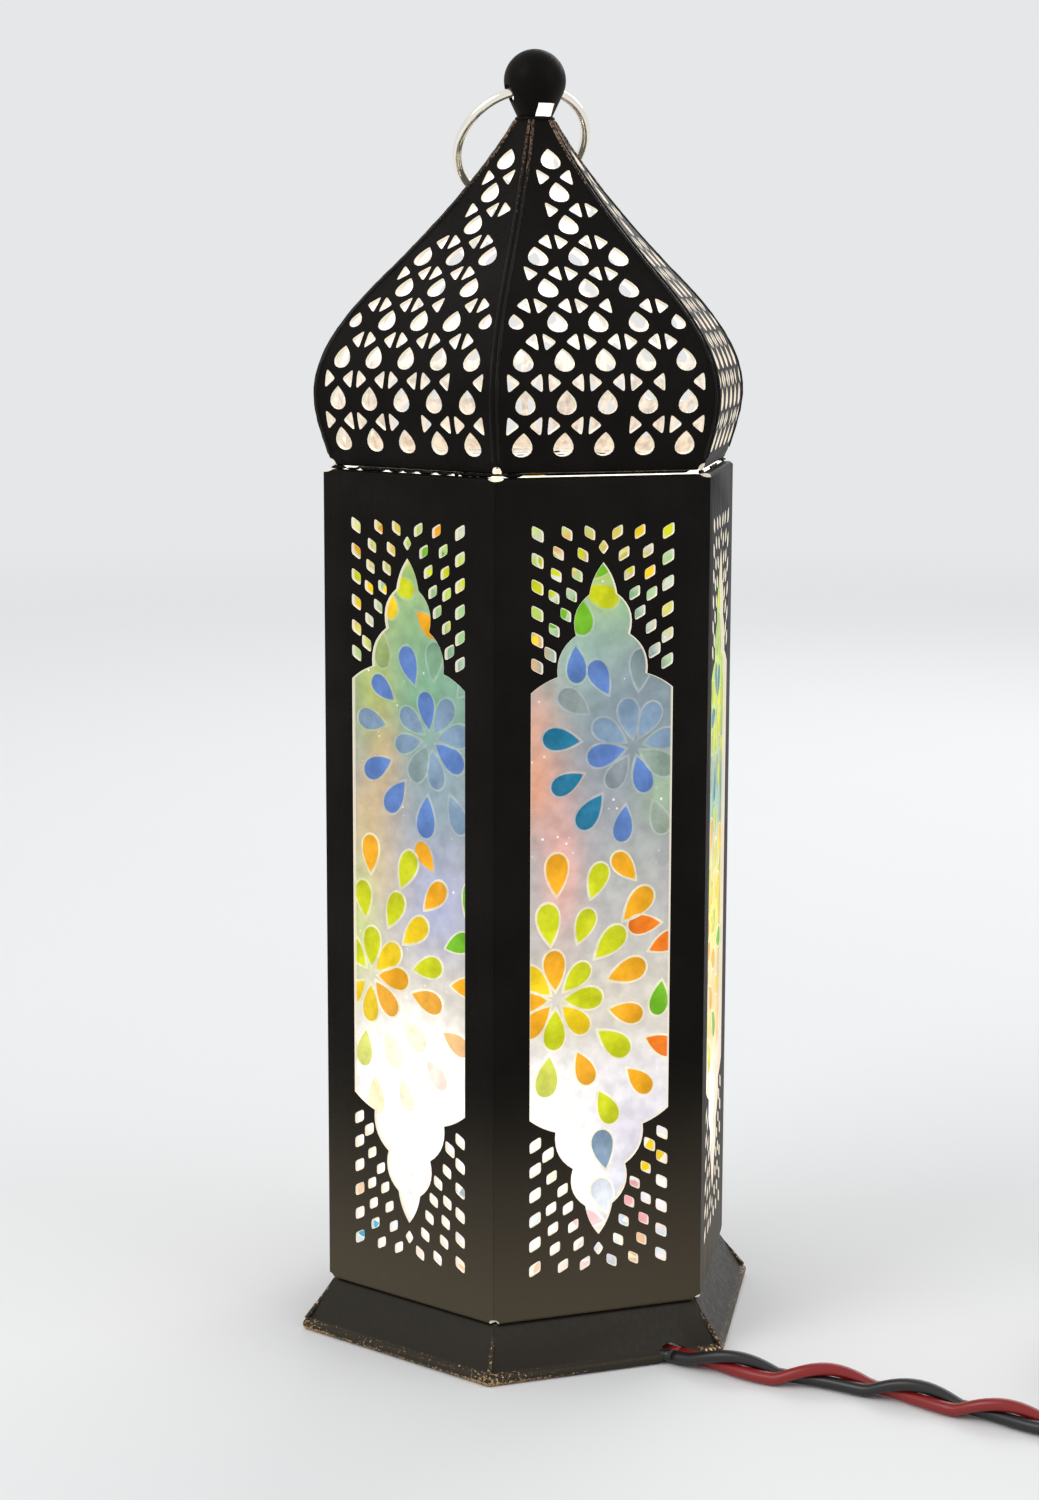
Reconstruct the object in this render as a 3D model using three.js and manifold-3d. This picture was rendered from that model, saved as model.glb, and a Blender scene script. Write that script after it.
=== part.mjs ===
import * as THREE from 'three';
import { mergeGeometries, mergeVertices } from 'three/addons/utils/BufferGeometryUtils.js';
import Module from 'manifold-3d';

// A six-sided pierced metal lantern: glazed body, pierced dome, hanging ring, flared foot, electric lamp.
// Millimetres, +Z up. The origin is the middle of the foot, on the surface that the lantern stands on.
// A body corner points along -Y, so the flats of the hexagon face +X and -X.

const wasm = await Module();
wasm.setup();

// General
const faceCount = 6;
const sheet = 0.8;                 // thickness of the metal sheet
const clearance = 0.3;             // gap left between pieces that touch
const halfFace = Math.PI / faceCount;

// Body: six upright panels, each folded inwards at its top and bottom
const bodyRadius = 51.25;          // centre to corner, outside
const bodyHeight = 192.7;
const footHeight = 12;             // top of the foot
const bottomFlange = 9.2;          // width of the folds where body and foot are screwed together
const topFlange = 6;               // width of the fold at the top of a panel, and at the bottom of the dome

// Window in each panel: half outline from the tip to the straight side
const windowHalfHeight = 77.2;
const windowCusps = [              // half width, depth below the tip, bulge and steps of the arc to here
  { across: 3.2, down: 6.9, bulge: 0.55, steps: 2 },
  { across: 6.3, down: 16.0, bulge: 1.75, steps: 2 },
  { across: 10.6, down: 25.1, bulge: 1.6, steps: 2 },
  { across: 16.9, down: 28.4, bulge: 0, steps: 1 },
];

// Diamond holes beside both tips of the window, in runs that follow its outline
const diamondRise = 6.75;          // top row above the window's tip
const diamondDrop = 3.2;           // upright diamond over the tip, below the top row
const diamondHalfWidth = 1.25;
const diamondHalfSide = 1.2;
const diamondSlant = 0.65;         // rise of the side away from the tip
const diamondRuns = [              // first diamond across and below the top row, step to the next
  { across: 15.6, down: 0, stepAcross: 0, stepDown: 5.84, count: 6 },
  { across: 10.7, down: 4.3, stepAcross: 0.5, stepDown: 4.8, count: 3 },
  { across: 11.6, down: 21.3, stepAcross: 0.9, stepDown: 5.4, count: 2 },
  { across: 4.9, down: 4.8, stepAcross: 1.33, stepDown: 4.4, count: 4 },
  { across: 3.3, down: 0, stepAcross: 5.4, stepDown: 0, count: 2 },
];

// Glass pane behind each window, held by four bent tabs
const glassThickness = 2.5;
const glassHalfWidth = 21.4;
const glassHeight = 186;
const glassCorner = 2.5;           // clipped corner of the pane
const clipThickness = 0.6;
const clipWidth = 8;
const clipReach = 3.6;             // how far a tab's finger lies over the glass
const clipInset = 30;              // clip centre from the pane's top and bottom edges

// Foot: six sloping panels with a rolled lip
const footRadius = 57.7;           // centre to corner over the lip
const footTopRadius = 50.3;
const lipRadius = 1.1;

// Dome: six curved gores
const domeGap = 0.8;               // slit between body and dome
const domeRimRadius = 49.3;        // corner radius at the dome's bottom edge
const domeBulge = [[3.6, 12.7], [11.1, 20.8]];    // curve handles, out and up from the rim
const domeShoulder = [-12.1, 42.1];               // end of the bulge, out and up from the rim
const domeWaist = [-34.2, 62.4];                  // handle of the upper slope
const domeTipRadius = 4.8;
const domeHeight = 78.3;

// Rows of drop-shaped holes up each gore, measured along its curve
const rowPitch = 9.4;
const columnPitch = 9.62;
const firstRow = 6.6;              // middle of the lowest row above the rim
const dropWidth = 4.5;
const dropHeight = 5.3;
const dropBelly = 0.35;            // widest place below the middle, as a share of half the height
const dropMargin = 2.2;            // least metal between a hole and the seam
const smallestDrop = 0.65;         // share of the full size, where the gore narrows

// Finial: hollow spun ball with a tapered neck, over the dome's open tip
const ballRadius = 7.15;
const ballWall = 0.8;
const spunSides = 12;              // sides of the ball, its neck and the collar inside it
const ballHeight = 8.75;           // centre of the ball above the dome's tip
const neckRadius = 3.9;            // neck at its bottom edge
const neckWindow = 4.2;            // opening in the neck that lets light out
const neckWindowTurn = -48 * Math.PI / 180;
const collarRadius = 3.0;          // tube that joins the neck to the dome
const collarBore = 2.3;
const collarFlange = 4.6;
const collarRise = 2.2;            // how far the tube stands up inside the neck
const collarDrop = 2.8;            // how far the flange lies below the dome's tip

// Hanging ring through the ball's lower part
const ringRadius = 15.5;           // middle of the wire
const ringWire = 1.0;              // radius of the wire
const ringPivotDrop = 2.85;        // pivot below the centre of the ball
const ringHole = 2.3;              // radius of the two holes for the ring
const ringTurn = 120 * Math.PI / 180;   // side of the dome on which the ring lies

// Lamp: bridge across the foot, holder and small bulb
const bridgeWidth = 15;
const bridgeThickness = 1.5;
const screwRadius = 1.5;
const screwHead = 2.9;
const screwHeadHeight = 1.6;
const nutRadius = 3.1;
const nutHeight = 2.2;
const screwFromEdge = 3.2;         // screw centre from the inner edge of the two folds
const nippleRadius = 5;
const nippleBore = 3.4;
const nippleNutRadius = 8;
const nippleNutHeight = 2.6;
const holderRadius = 12.4;
const holderHeight = 25;
const holderBore = 8.6;
const holderFloor = 7;
const holderRingHeight = 4;
const bulbCapRadius = 7;
const bulbCapHeight = 14;
const contactRadius = 4.6;
const bulbRadius = 11;
const bulbLength = 27;

// Cord: twisted pair, modelled at its outer diameter
const cordRadius = 3.0;
const tubeSides = 8;
const leadPoints = [               // inside the lantern, from the holder to the notch in the foot
  [8.3, -9.9, 18.2], [10.6, -12.6, 18.2], [14.4, -16.6, 16.9], [18.6, -20.4, 13.2], [22.8, -23.9, 8.6],
  [27.4, -27.3, 5.0], [32.6, -30.6, 3.4], [37.4, -33.3, 3.2], [39.9, -34.5, 3.2],
];
const cordPoints = [               // from the notch to the coil
  [40.2, -34.64, 3.2], [45.9, -37.4, 3.2], [52.0, -40.2, 3.2], [58.2, -42.4, 3.2], [64.4, -43.8, 3.2],
  [70.6, -44.5, 3.2], [76.6, -45.0, 3.2], [82.4, -46.2, 3.2], [88.6, -48.4, 3.2], [94.6, -50.9, 3.2],
  [100.7, -53.4, 3.2], [107.2, -56.2, 3.2], [114.0, -58.9, 3.2], [121.4, -61.6, 3.2], [129.0, -64.3, 3.3],
  [137.0, -67.2, 3.6], [145.0, -70.1, 4.0], [153.0, -73.0, 4.2],
];
const notchHalfWidth = 3.7;
const notchHeight = 7.2;

// Coil of the put-away cord: two layers, the lower spiralling in and the upper out
const coilCentre = [177.0, -34.3];
const coilStart = -110;            // degrees round the centre
const coilTurns = 6.22;
const coilMeanRadius = 33;
const coilPitch = 6.55;            // from one turn to the next, and from layer to layer
const coilFloor = 4.3;             // middle of the lower layer: the tie passes below it
const loopSteps = 22;
const loopSides = 6;
const tieTurn = 100;               // degrees round the centre
const tieWidth = 5;
const tieThickness = 0.9;

// Tail of the cord and the two-pin plug
const plugTurn = 45;               // degrees round the coil where the plug's lead-in begins
const plugLength = 32;
const plugWidth = 27;
const plugThickness = 13.4;
const plugShoulder = 11;           // length over which the housing widens behind the sleeve
const plugEdge = 2;                // chamfer round the housing
const sleeveLength = 20;
const sleeveRadius = 5.2;
const sleeveTip = 3.9;
const pinRadius = 2.0;
const pinReach = 19;
const pinSeat = 6;
const pinSpacing = 18.6;

// Sizes that follow from the driving ones
const bodyBottom = footHeight + clearance;
const bodyTop = bodyBottom + bodyHeight;
const bodyFlat = bodyRadius * Math.cos(halfFace);      // centre to the outside of a flat
const panelInside = bodyFlat - sheet;
const footTopFlat = footTopRadius * Math.cos(halfFace);
const foldEdge = Math.min(bodyFlat, footTopFlat) - bottomFlange;   // inner edge shared by both folds
const domeBottom = bodyTop + domeGap;
const domeTip = domeBottom + domeHeight;
const ballCentre = domeTip + ballHeight;
const ringPivot = ballCentre - ringPivotDrop;
const bridgeBottom = bodyBottom + sheet + clearance;
const holderBottom = bridgeBottom + bridgeThickness + clearance;

const paintedIron = new THREE.MeshStandardMaterial({ color: 0x1d1712, roughness: 0.5, metalness: 0.6 });
const brightSteel = new THREE.MeshStandardMaterial({ color: 0xc9c4b8, roughness: 0.25, metalness: 1 });
const plainSteel = new THREE.MeshStandardMaterial({ color: 0x8d8a84, roughness: 0.45, metalness: 1 });
const brass = new THREE.MeshStandardMaterial({ color: 0xb08d4a, roughness: 0.4, metalness: 1 });
const artGlass = new THREE.MeshStandardMaterial({ color: 0xb9c7c4, roughness: 0.3, metalness: 0 });
const bulbGlass = new THREE.MeshStandardMaterial({ color: 0xfff3d6, roughness: 0.35, metalness: 0 });
const holderPlastic = new THREE.MeshStandardMaterial({ color: 0x16120f, roughness: 0.4, metalness: 0 });
const cordPlastic = new THREE.MeshStandardMaterial({ color: 0x7a120c, roughness: 0.4, metalness: 0 });
const plugPlastic = new THREE.MeshStandardMaterial({ color: 0x141414, roughness: 0.45, metalness: 0 });

const lantern = new THREE.Group();

function addPiece(name, geometry, material, parent = lantern) {
  const mesh = new THREE.Mesh(geometry, material);
  mesh.name = name;
  parent.add(mesh);
  return mesh;
}

// One group for each side of the hexagon: local +X points out through the middle of the face.
const faces = [];
for (let i = 0; i < faceCount; i++) {
  const face = new THREE.Group();
  face.rotation.z = (2 * i - 4) * halfFace;
  lantern.add(face);
  faces.push(face);
}

function positionsOnly(geometry) {
  const bare = geometry.clone();
  bare.deleteAttribute('normal');
  bare.deleteAttribute('uv');
  return mergeVertices(bare, 1e-4);
}

function toSolid(geometry) {
  const bare = positionsOnly(geometry);
  return new wasm.Manifold(new wasm.Mesh({
    numProp: 3,
    vertProperties: new Float32Array(bare.attributes.position.array),
    triVerts: new Uint32Array(bare.index.array),
  }));
}

function toGeometry(solid) {
  const mesh = solid.getMesh();
  const geometry = new THREE.BufferGeometry();
  geometry.setAttribute('position', new THREE.BufferAttribute(new Float32Array(mesh.vertProperties), 3));
  geometry.setIndex(new THREE.BufferAttribute(new Uint32Array(mesh.triVerts), 1));
  geometry.computeVertexNormals();
  return geometry;
}

function cutAway(geometry, tools) {
  return toGeometry(toSolid(geometry).subtract(toSolid(mergeGeometries(tools.map(positionsOnly)))));
}

function shapeOf(points) {
  return new THREE.Shape(points.map(([x, y]) => new THREE.Vector2(x, y)));
}

function extrude(shape, depth, curveSegments = 6) {
  return new THREE.ExtrudeGeometry(shape, { depth, bevelEnabled: false, curveSegments });
}

// A bar along one side of the hexagon. The section is in distance from the axis and height, and both
// ends are mitred, so that six bars close into a ring with the clearance between them.
function mitredBar(section) {
  const geometry = extrude(shapeOf(section), 1);
  const position = geometry.attributes.position;
  const endGap = clearance / 2 / Math.cos(halfFace);
  for (let i = 0; i < position.count; i++) {
    const out = position.getX(i);
    const height = position.getY(i);
    const half = out * Math.tan(halfFace) - endGap;
    position.setXYZ(i, out, position.getZ(i) < 0.5 ? half : -half, height);
  }
  geometry.computeVertexNormals();
  return geometry;
}

// A punch: the outline is across and up the sheet, centred on a point of the sheet whose up direction
// leans back by the given angle.
function punch(outline, out, height, lean = 0) {
  const reach = 6 * sheet;
  const tool = extrude(shapeOf(outline), reach);
  tool.translate(0, 0, -reach / 2);
  const across = new THREE.Vector3(0, 1, 0);
  const up = new THREE.Vector3(-Math.sin(lean), 0, Math.cos(lean));
  const outwards = new THREE.Vector3().crossVectors(across, up);
  const frame = new THREE.Matrix4().makeBasis(across, up, outwards);
  frame.setPosition(out, 0, height);
  return tool.applyMatrix4(frame);
}

function lathe(section, steps = 10) {
  const points = section.map(([x, y]) => new THREE.Vector2(x, y));
  return new THREE.LatheGeometry(points, steps).rotateX(Math.PI / 2);
}

// Body panels
function arcPoints(from, to, bulge, steps) {
  const start = new THREE.Vector2(...from);
  const end = new THREE.Vector2(...to);
  const along = end.clone().sub(start).normalize();
  const handle = start.clone().add(end).multiplyScalar(0.5);
  handle.add(new THREE.Vector2(-along.y, along.x).multiplyScalar(2 * bulge));
  const curve = new THREE.QuadraticBezierCurve(start, handle, end);
  return curve.getPoints(steps).slice(1).map((p) => [p.x, p.y]);
}

function windowOutline() {
  const quarter = [[0, windowHalfHeight]];
  for (const cusp of windowCusps) {
    const end = [cusp.across, windowHalfHeight - cusp.down];
    quarter.push(...arcPoints(quarter[quarter.length - 1], end, cusp.bulge, cusp.steps));
  }
  const back = [...quarter].reverse();
  return [
    ...quarter,
    ...back.map(([x, y]) => [x, -y]),
    ...quarter.slice(1).map(([x, y]) => [-x, -y]),
    ...back.slice(0, -1).map(([x, y]) => [-x, y]),
  ];
}

function panelSection() {
  return [
    [foldEdge, bodyBottom],
    [bodyFlat, bodyBottom],
    [bodyFlat, bodyTop],
    [bodyFlat - topFlange, bodyTop],
    [bodyFlat - topFlange, bodyTop - sheet],
    [panelInside, bodyTop - sheet],
    [panelInside, bodyBottom + sheet],
    [foldEdge, bodyBottom + sheet],
  ];
}

const screwOut = foldEdge + screwFromEdge;
const windowMiddle = (bodyBottom + bodyTop) / 2;

function screwPunch(height) {
  const tool = new THREE.CylinderGeometry(screwRadius + clearance, screwRadius + clearance, 4 * sheet, 8);
  tool.rotateX(Math.PI / 2);
  tool.translate(screwOut, 0, height);
  return tool;
}

const carriesBridge = (i) => i === 2 || i === 5;       // the faces towards +X and -X

// Glass panes, standing on the bottom fold, and the tabs soldered to the panels that hold them
const glassOutside = panelInside - clearance;
const glassInside = glassOutside - glassThickness;
const glassBottom = bodyBottom + sheet + clearance;

function glassOutline() {
  const w = glassHalfWidth;
  const h = glassHeight / 2;
  const c = glassCorner;
  return [
    [w - c, -h], [w, -h + c], [w, h - c], [w - c, h],
    [-w + c, h], [-w, h - c], [-w, -h + c], [-w + c, -h],
  ];
}

faces.forEach((face, i) => {
  const pane = extrude(shapeOf(glassOutline()), glassThickness);
  pane.rotateX(Math.PI / 2);
  pane.rotateZ(Math.PI / 2);
  pane.translate(glassInside, 0, glassBottom + glassHeight / 2);
  addPiece(`glass_pane_${i + 1}`, pane, artGlass, face);
});

function glassClip(side, height) {
  const edge = glassHalfWidth + clearance;
  const back = glassInside - clearance;
  const solder = panelInside + sheet / 4;
  const section = [
    [edge - clipReach, back], [edge - clipReach, back - clipThickness],
    [edge + clipThickness, back - clipThickness], [edge + clipThickness, solder],
    [edge, solder], [edge, back],
  ];
  const clip = extrude(shapeOf(section.map(([u, out]) => [out, side * u])), clipWidth);
  clip.translate(0, 0, height - clipWidth / 2);
  return clip;
}

function diamondOutlines() {
  const [w, high, low] = [diamondHalfWidth, diamondHalfSide + diamondSlant, diamondHalfSide - diamondSlant];
  const topRow = windowHalfHeight + diamondRise;
  const outlines = [];
  for (const end of [-1, 1]) {
    const middle = end * (topRow - diamondDrop);
    outlines.push([[w, middle], [0, middle + high], [-w, middle], [0, middle - high]]);
    for (const run of diamondRuns) {
      for (let k = 0; k < run.count; k++) {
        for (const side of [-1, 1]) {
          const x = side * (run.across + k * run.stepAcross);
          const y = end * (topRow - run.down - k * run.stepDown);
          outlines.push([
            [x + side * w, y + end * high], [x - side * w, y + end * low],
            [x - side * w, y - end * high], [x + side * w, y - end * low],
          ]);
        }
      }
    }
  }
  return outlines;
}

function panelWithTabs(i) {
  const holes = [windowOutline(), ...diamondOutlines()]
    .map((outline) => punch(outline, bodyFlat - sheet / 2, windowMiddle));
  if (carriesBridge(i)) holes.push(screwPunch(bodyBottom + sheet / 2));
  let panel = toSolid(cutAway(mitredBar(panelSection()), holes));
  for (const side of [-1, 1]) {
    for (const height of [glassBottom + clipInset, glassBottom + glassHeight - clipInset]) {
      panel = panel.add(toSolid(glassClip(side, height)));
    }
  }
  return toGeometry(panel);
}

faces.forEach((face, i) => addPiece(`body_panel_${i + 1}`, panelWithTabs(i), paintedIron, face));

// Foot
const footFlat = footRadius * Math.cos(halfFace);

function footSection() {
  const lipOut = footFlat - lipRadius;
  const corner = lipRadius / Math.cos(Math.PI / 8);
  const lip = (degrees) => {
    const a = degrees * Math.PI / 180;
    return [lipOut + corner * Math.cos(a), lipRadius + corner * Math.sin(a)];
  };
  return [
    [foldEdge, footHeight - sheet],
    [footTopFlat - sheet * 1.2, footHeight - sheet],
    [lipOut - sheet * 0.9, 2 * lipRadius],
    lip(202.5), lip(247.5), lip(292.5), lip(337.5), lip(22.5),
    [lipOut + sheet * 0.2, 2 * lipRadius],
    [footTopFlat, footHeight],
    [foldEdge, footHeight],
  ];
}

// The notch follows the cord, which leaves the foot at a slant.
function cordNotch() {
  const from = new THREE.Vector3(...leadPoints[leadPoints.length - 2]);
  const to = new THREE.Vector3(...cordPoints[1]);
  const arch = new THREE.Shape();
  arch.moveTo(-notchHalfWidth, -2);
  arch.lineTo(notchHalfWidth, -2);
  arch.lineTo(notchHalfWidth, notchHeight - notchHalfWidth);
  arch.absarc(0, notchHeight - notchHalfWidth, notchHalfWidth, 0, Math.PI, false);
  const length = 24;
  const tool = extrude(arch, length, 5);
  tool.translate(0, 0, -length / 2);
  const along = to.clone().sub(from).setZ(0).normalize();
  const up = new THREE.Vector3(0, 0, 1);
  const side = new THREE.Vector3().crossVectors(up, along);
  const frame = new THREE.Matrix4().makeBasis(side, up, along);
  const middle = from.clone().add(to).multiplyScalar(0.5);
  frame.setPosition(middle.x, middle.y, 0);
  return tool.applyMatrix4(frame);
}

const cordFace = 1;
faces.forEach((face, i) => {
  const tools = [];
  if (carriesBridge(i)) tools.push(screwPunch(footHeight - sheet / 2));
  if (i === cordFace) tools.push(cordNotch().rotateZ(-face.rotation.z));
  const bar = mitredBar(footSection());
  addPiece(`foot_panel_${i + 1}`, tools.length ? cutAway(bar, tools) : bar, paintedIron, face);
});

// Dome
function domeCurve() {
  const place = (out, up) => new THREE.Vector2((domeRimRadius + out) * Math.cos(halfFace), domeBottom + up);
  const handles = domeBulge.map(([out, up]) => place(out, up));
  const shoulder = place(...domeShoulder);
  const tip = new THREE.Vector2(domeTipRadius * Math.cos(halfFace), domeTip);
  const curve = new THREE.CurvePath();
  curve.add(new THREE.CubicBezierCurve(place(0, 0), ...handles, shoulder));
  curve.add(new THREE.QuadraticBezierCurve(shoulder, place(...domeWaist), tip));
  return curve;
}

// The middle of a gore in distance from the axis and height: flat from below one row of holes to the next
const domeLine = domeCurve();
const domeLength = domeLine.getLength();
const rowCount = Math.floor((domeLength - firstRow - dropHeight) / rowPitch) + 1;
const belowDrop = dropHeight / 2 + clearance;

function domeProfile() {
  const lengths = [0];
  for (let row = 0; row < rowCount; row++) lengths.push(firstRow - belowDrop + row * rowPitch);
  lengths.push(domeLength);
  return lengths.map((length) => domeLine.getPoint(length / domeLength));
}

const domeOutside = domeProfile();

function offsetInwards(profile, distance) {
  return profile.map((point, i) => {
    const before = profile[Math.max(i - 1, 0)];
    const after = profile[Math.min(i + 1, profile.length - 1)];
    const along = after.clone().sub(before).normalize();
    return point.clone().add(new THREE.Vector2(-along.y, along.x).multiplyScalar(distance));
  });
}

function goreSection() {
  const inside = offsetInwards(domeOutside, sheet).slice(1).reverse();
  const rim = domeOutside[0];
  return [
    [rim.x - topFlange, domeBottom],
    ...domeOutside.map((p) => [p.x, p.y]),
    ...inside.map((p) => [p.x, p.y]),
    [rim.x - sheet, domeBottom + sheet],
    [rim.x - topFlange, domeBottom + sheet],
  ];
}

function dropOutline(across, scale) {
  const w = scale * dropWidth / 2;
  const h = scale * dropHeight / 2;
  return [[across, h], [across - w, -dropBelly * h], [across, -h], [across + w, -dropBelly * h]];
}

// A column that has too little room for a whole drop gets a smaller one, or none.
function dropPunches() {
  const punches = [];
  for (let row = 0; row < rowCount; row++) {
    const [from, to] = [domeOutside[row + 1], domeOutside[row + 2]];
    const along = to.clone().sub(from).normalize();
    const middle = from.clone().addScaledVector(along, belowDrop);
    const halfWidth = middle.x * Math.tan(halfFace);
    middle.add(new THREE.Vector2(-along.y, along.x).multiplyScalar(sheet / 2));
    const lean = Math.atan2(-along.x, along.y);
    const columns = Math.floor(halfWidth / columnPitch);
    for (let column = -columns; column <= columns; column++) {
      const room = halfWidth - Math.abs(column) * columnPitch - dropMargin;
      const scale = Math.min(1, room / (dropWidth / 2));
      if (scale < smallestDrop) continue;
      punches.push(punch(dropOutline(column * columnPitch, scale), middle.x, middle.y, lean));
    }
  }
  return punches;
}

faces.forEach((face, i) => {
  const gore = cutAway(mitredBar(goreSection()), dropPunches());
  addPiece(`dome_gore_${i + 1}`, gore, paintedIron, face);
});

// Finial, with the collar that joins it to the dome
function ballAndNeck(radius, neck, bottom) {
  const reach = Math.hypot(neck, ballCentre - bottom);
  const meet = Math.atan2(bottom - ballCentre, neck) + Math.acos(radius / reach);
  const points = [new THREE.Vector2(neck, bottom)];
  const steps = 6;
  for (let k = 0; k <= steps; k++) {
    const a = meet + (Math.PI / 2 - meet) * k / steps;
    points.push(new THREE.Vector2(k === steps ? 0 : radius * Math.cos(a), ballCentre + radius * Math.sin(a)));
  }
  return points;
}

function finial() {
  const bottom = domeTip + clearance;
  const outside = ballAndNeck(ballRadius, neckRadius, bottom);
  const inside = ballAndNeck(ballRadius - ballWall, neckRadius - ballWall, bottom).reverse();
  const shell = new THREE.LatheGeometry([...outside, ...inside, outside[0].clone()], spunSides);
  shell.rotateX(Math.PI / 2);
  const hole = new THREE.CylinderGeometry(ringHole, ringHole, 4 * ballRadius, 8);
  hole.rotateZ(Math.PI / 2);
  hole.rotateZ(ringTurn + Math.PI / 2);
  hole.translate(0, 0, ringPivot);
  const light = new THREE.BoxGeometry(2 * neckRadius, neckWindow, neckWindow);
  light.translate(neckRadius + 1, 0, bottom + neckWindow / 2 - 1);
  light.rotateZ(neckWindowTurn);
  return cutAway(cutAway(shell, [hole]), [light]);
}

addPiece('finial', finial(), paintedIron);

function apexCollar() {
  const top = domeTip + collarRise;
  const bottom = domeTip - collarDrop;
  const section = [
    [collarBore, bottom], [collarFlange, bottom], [collarFlange, bottom + sheet],
    [collarRadius, bottom + sheet], [collarRadius, top], [collarBore, top], [collarBore, bottom],
  ];
  return lathe(section, spunSides);
}

addPiece('apex_collar', apexCollar(), plainSteel);

// Hanging ring: its wire crosses the ball on a chord, so its middle lies a little nearer than its radius.
const ballHalfAtPivot = Math.sqrt(ballRadius ** 2 - ringPivotDrop ** 2) - ballWall / 2;
const ringOffset = Math.sqrt(ringRadius ** 2 - ballHalfAtPivot ** 2);

function distanceToDome(point) {
  let least = Infinity;
  for (let i = 1; i < domeOutside.length; i++) {
    const start = domeOutside[i - 1];
    const span = domeOutside[i].clone().sub(start);
    const t = THREE.MathUtils.clamp(point.clone().sub(start).dot(span) / span.lengthSq(), 0, 1);
    least = Math.min(least, point.distanceTo(start.clone().addScaledVector(span, t)));
  }
  return least;
}

// Angle from hanging straight down at which the ring's far side rests on the dome
function ringLean() {
  const reach = ringOffset + ringRadius;
  let inside = 0;
  let outside = Math.PI / 2;
  for (let k = 0; k < 40; k++) {
    const lean = (inside + outside) / 2;
    const far = new THREE.Vector2(reach * Math.sin(lean), ringPivot - reach * Math.cos(lean));
    const top = domeOutside[domeOutside.length - 1];
    const slopeBottom = domeOutside[domeOutside.length - 2];
    const down = slopeBottom.clone().sub(top);
    const onOuterSide = far.clone().sub(top).cross(down) < 0;
    if (onOuterSide && distanceToDome(far) > ringWire + clearance) outside = lean;
    else inside = lean;
  }
  return outside;
}

const lean = ringLean();
const leanDegrees = THREE.MathUtils.radToDeg(lean);
console.log(`ring leans ${leanDegrees.toFixed(2)} degrees from straight down, pivot ${ringPivot.toFixed(2)}`);

function hangingRing() {
  const ring = new THREE.TorusGeometry(ringRadius, ringWire, 6, 27);
  ring.translate(0, -ringOffset, 0);
  ring.rotateX(Math.PI / 2);
  ring.rotateX(lean);
  ring.rotateZ(ringTurn - Math.PI / 2);
  ring.translate(0, 0, ringPivot);
  return ring;
}

addPiece('hanging_ring', hangingRing(), brightSteel);

// Lamp bridge with its screws and nuts
function bridgeStrip() {
  const end = bodyFlat - sheet - clearance - glassThickness - 2 * clearance;
  const half = bridgeWidth / 2;
  const outline = new THREE.Shape();
  outline.moveTo(-end, -half);
  outline.lineTo(end, -half);
  outline.lineTo(end, half);
  outline.lineTo(-end, half);
  for (const [x, radius] of [[0, nippleRadius + clearance], [screwOut, screwRadius + clearance],
    [-screwOut, screwRadius + clearance]]) {
    const hole = new THREE.Path();
    hole.absarc(x, 0, radius, 0, 2 * Math.PI, true);
    outline.holes.push(hole);
  }
  const strip = extrude(outline, bridgeThickness, 6);
  strip.translate(0, 0, bridgeBottom);
  return strip;
}

addPiece('lamp_bridge', bridgeStrip(), plainSteel);

const screwTop = bridgeBottom + bridgeThickness + clearance;
const nutTop = footHeight - sheet - clearance;
[-1, 1].forEach((side, i) => addPiece(`bridge_screw_${i + 1}`, lathe([
  [0, nutTop - nutHeight - 1], [screwRadius, nutTop - nutHeight - 1], [screwRadius, screwTop],
  [screwHead, screwTop], [screwHead * 0.8, screwTop + screwHeadHeight], [0, screwTop + screwHeadHeight],
]).translate(side * screwOut, 0, 0), plainSteel));

function hexNut(radius, bore, height) {
  const outline = new THREE.Shape();
  for (let k = 0; k < 6; k++) {
    const a = k * Math.PI / 3;
    if (k === 0) outline.moveTo(radius, 0);
    else outline.lineTo(radius * Math.cos(a), radius * Math.sin(a));
  }
  const hole = new THREE.Path();
  hole.absarc(0, 0, bore, 0, 2 * Math.PI, true);
  outline.holes.push(hole);
  return extrude(outline, height, 6);
}

[-1, 1].forEach((side, i) => {
  const nut = hexNut(nutRadius, screwRadius + clearance, nutHeight);
  nut.translate(side * screwOut, 0, nutTop - nutHeight);
  addPiece(`bridge_nut_${i + 1}`, nut, plainSteel);
});

// Lamp holder on its threaded tube, with the bulb
const nippleBottom = bridgeBottom - clearance - nippleNutHeight - 1;
const nippleTop = holderBottom + holderFloor - clearance - 2;
addPiece('holder_nipple', lathe([
  [nippleBore, nippleBottom], [nippleRadius, nippleBottom], [nippleRadius, nippleTop],
  [nippleBore, nippleTop], [nippleBore, nippleBottom],
]), plainSteel);
addPiece('holder_nut', hexNut(nippleNutRadius, nippleRadius + clearance, nippleNutHeight)
  .translate(0, 0, bridgeBottom - clearance - nippleNutHeight), plainSteel);

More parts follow.
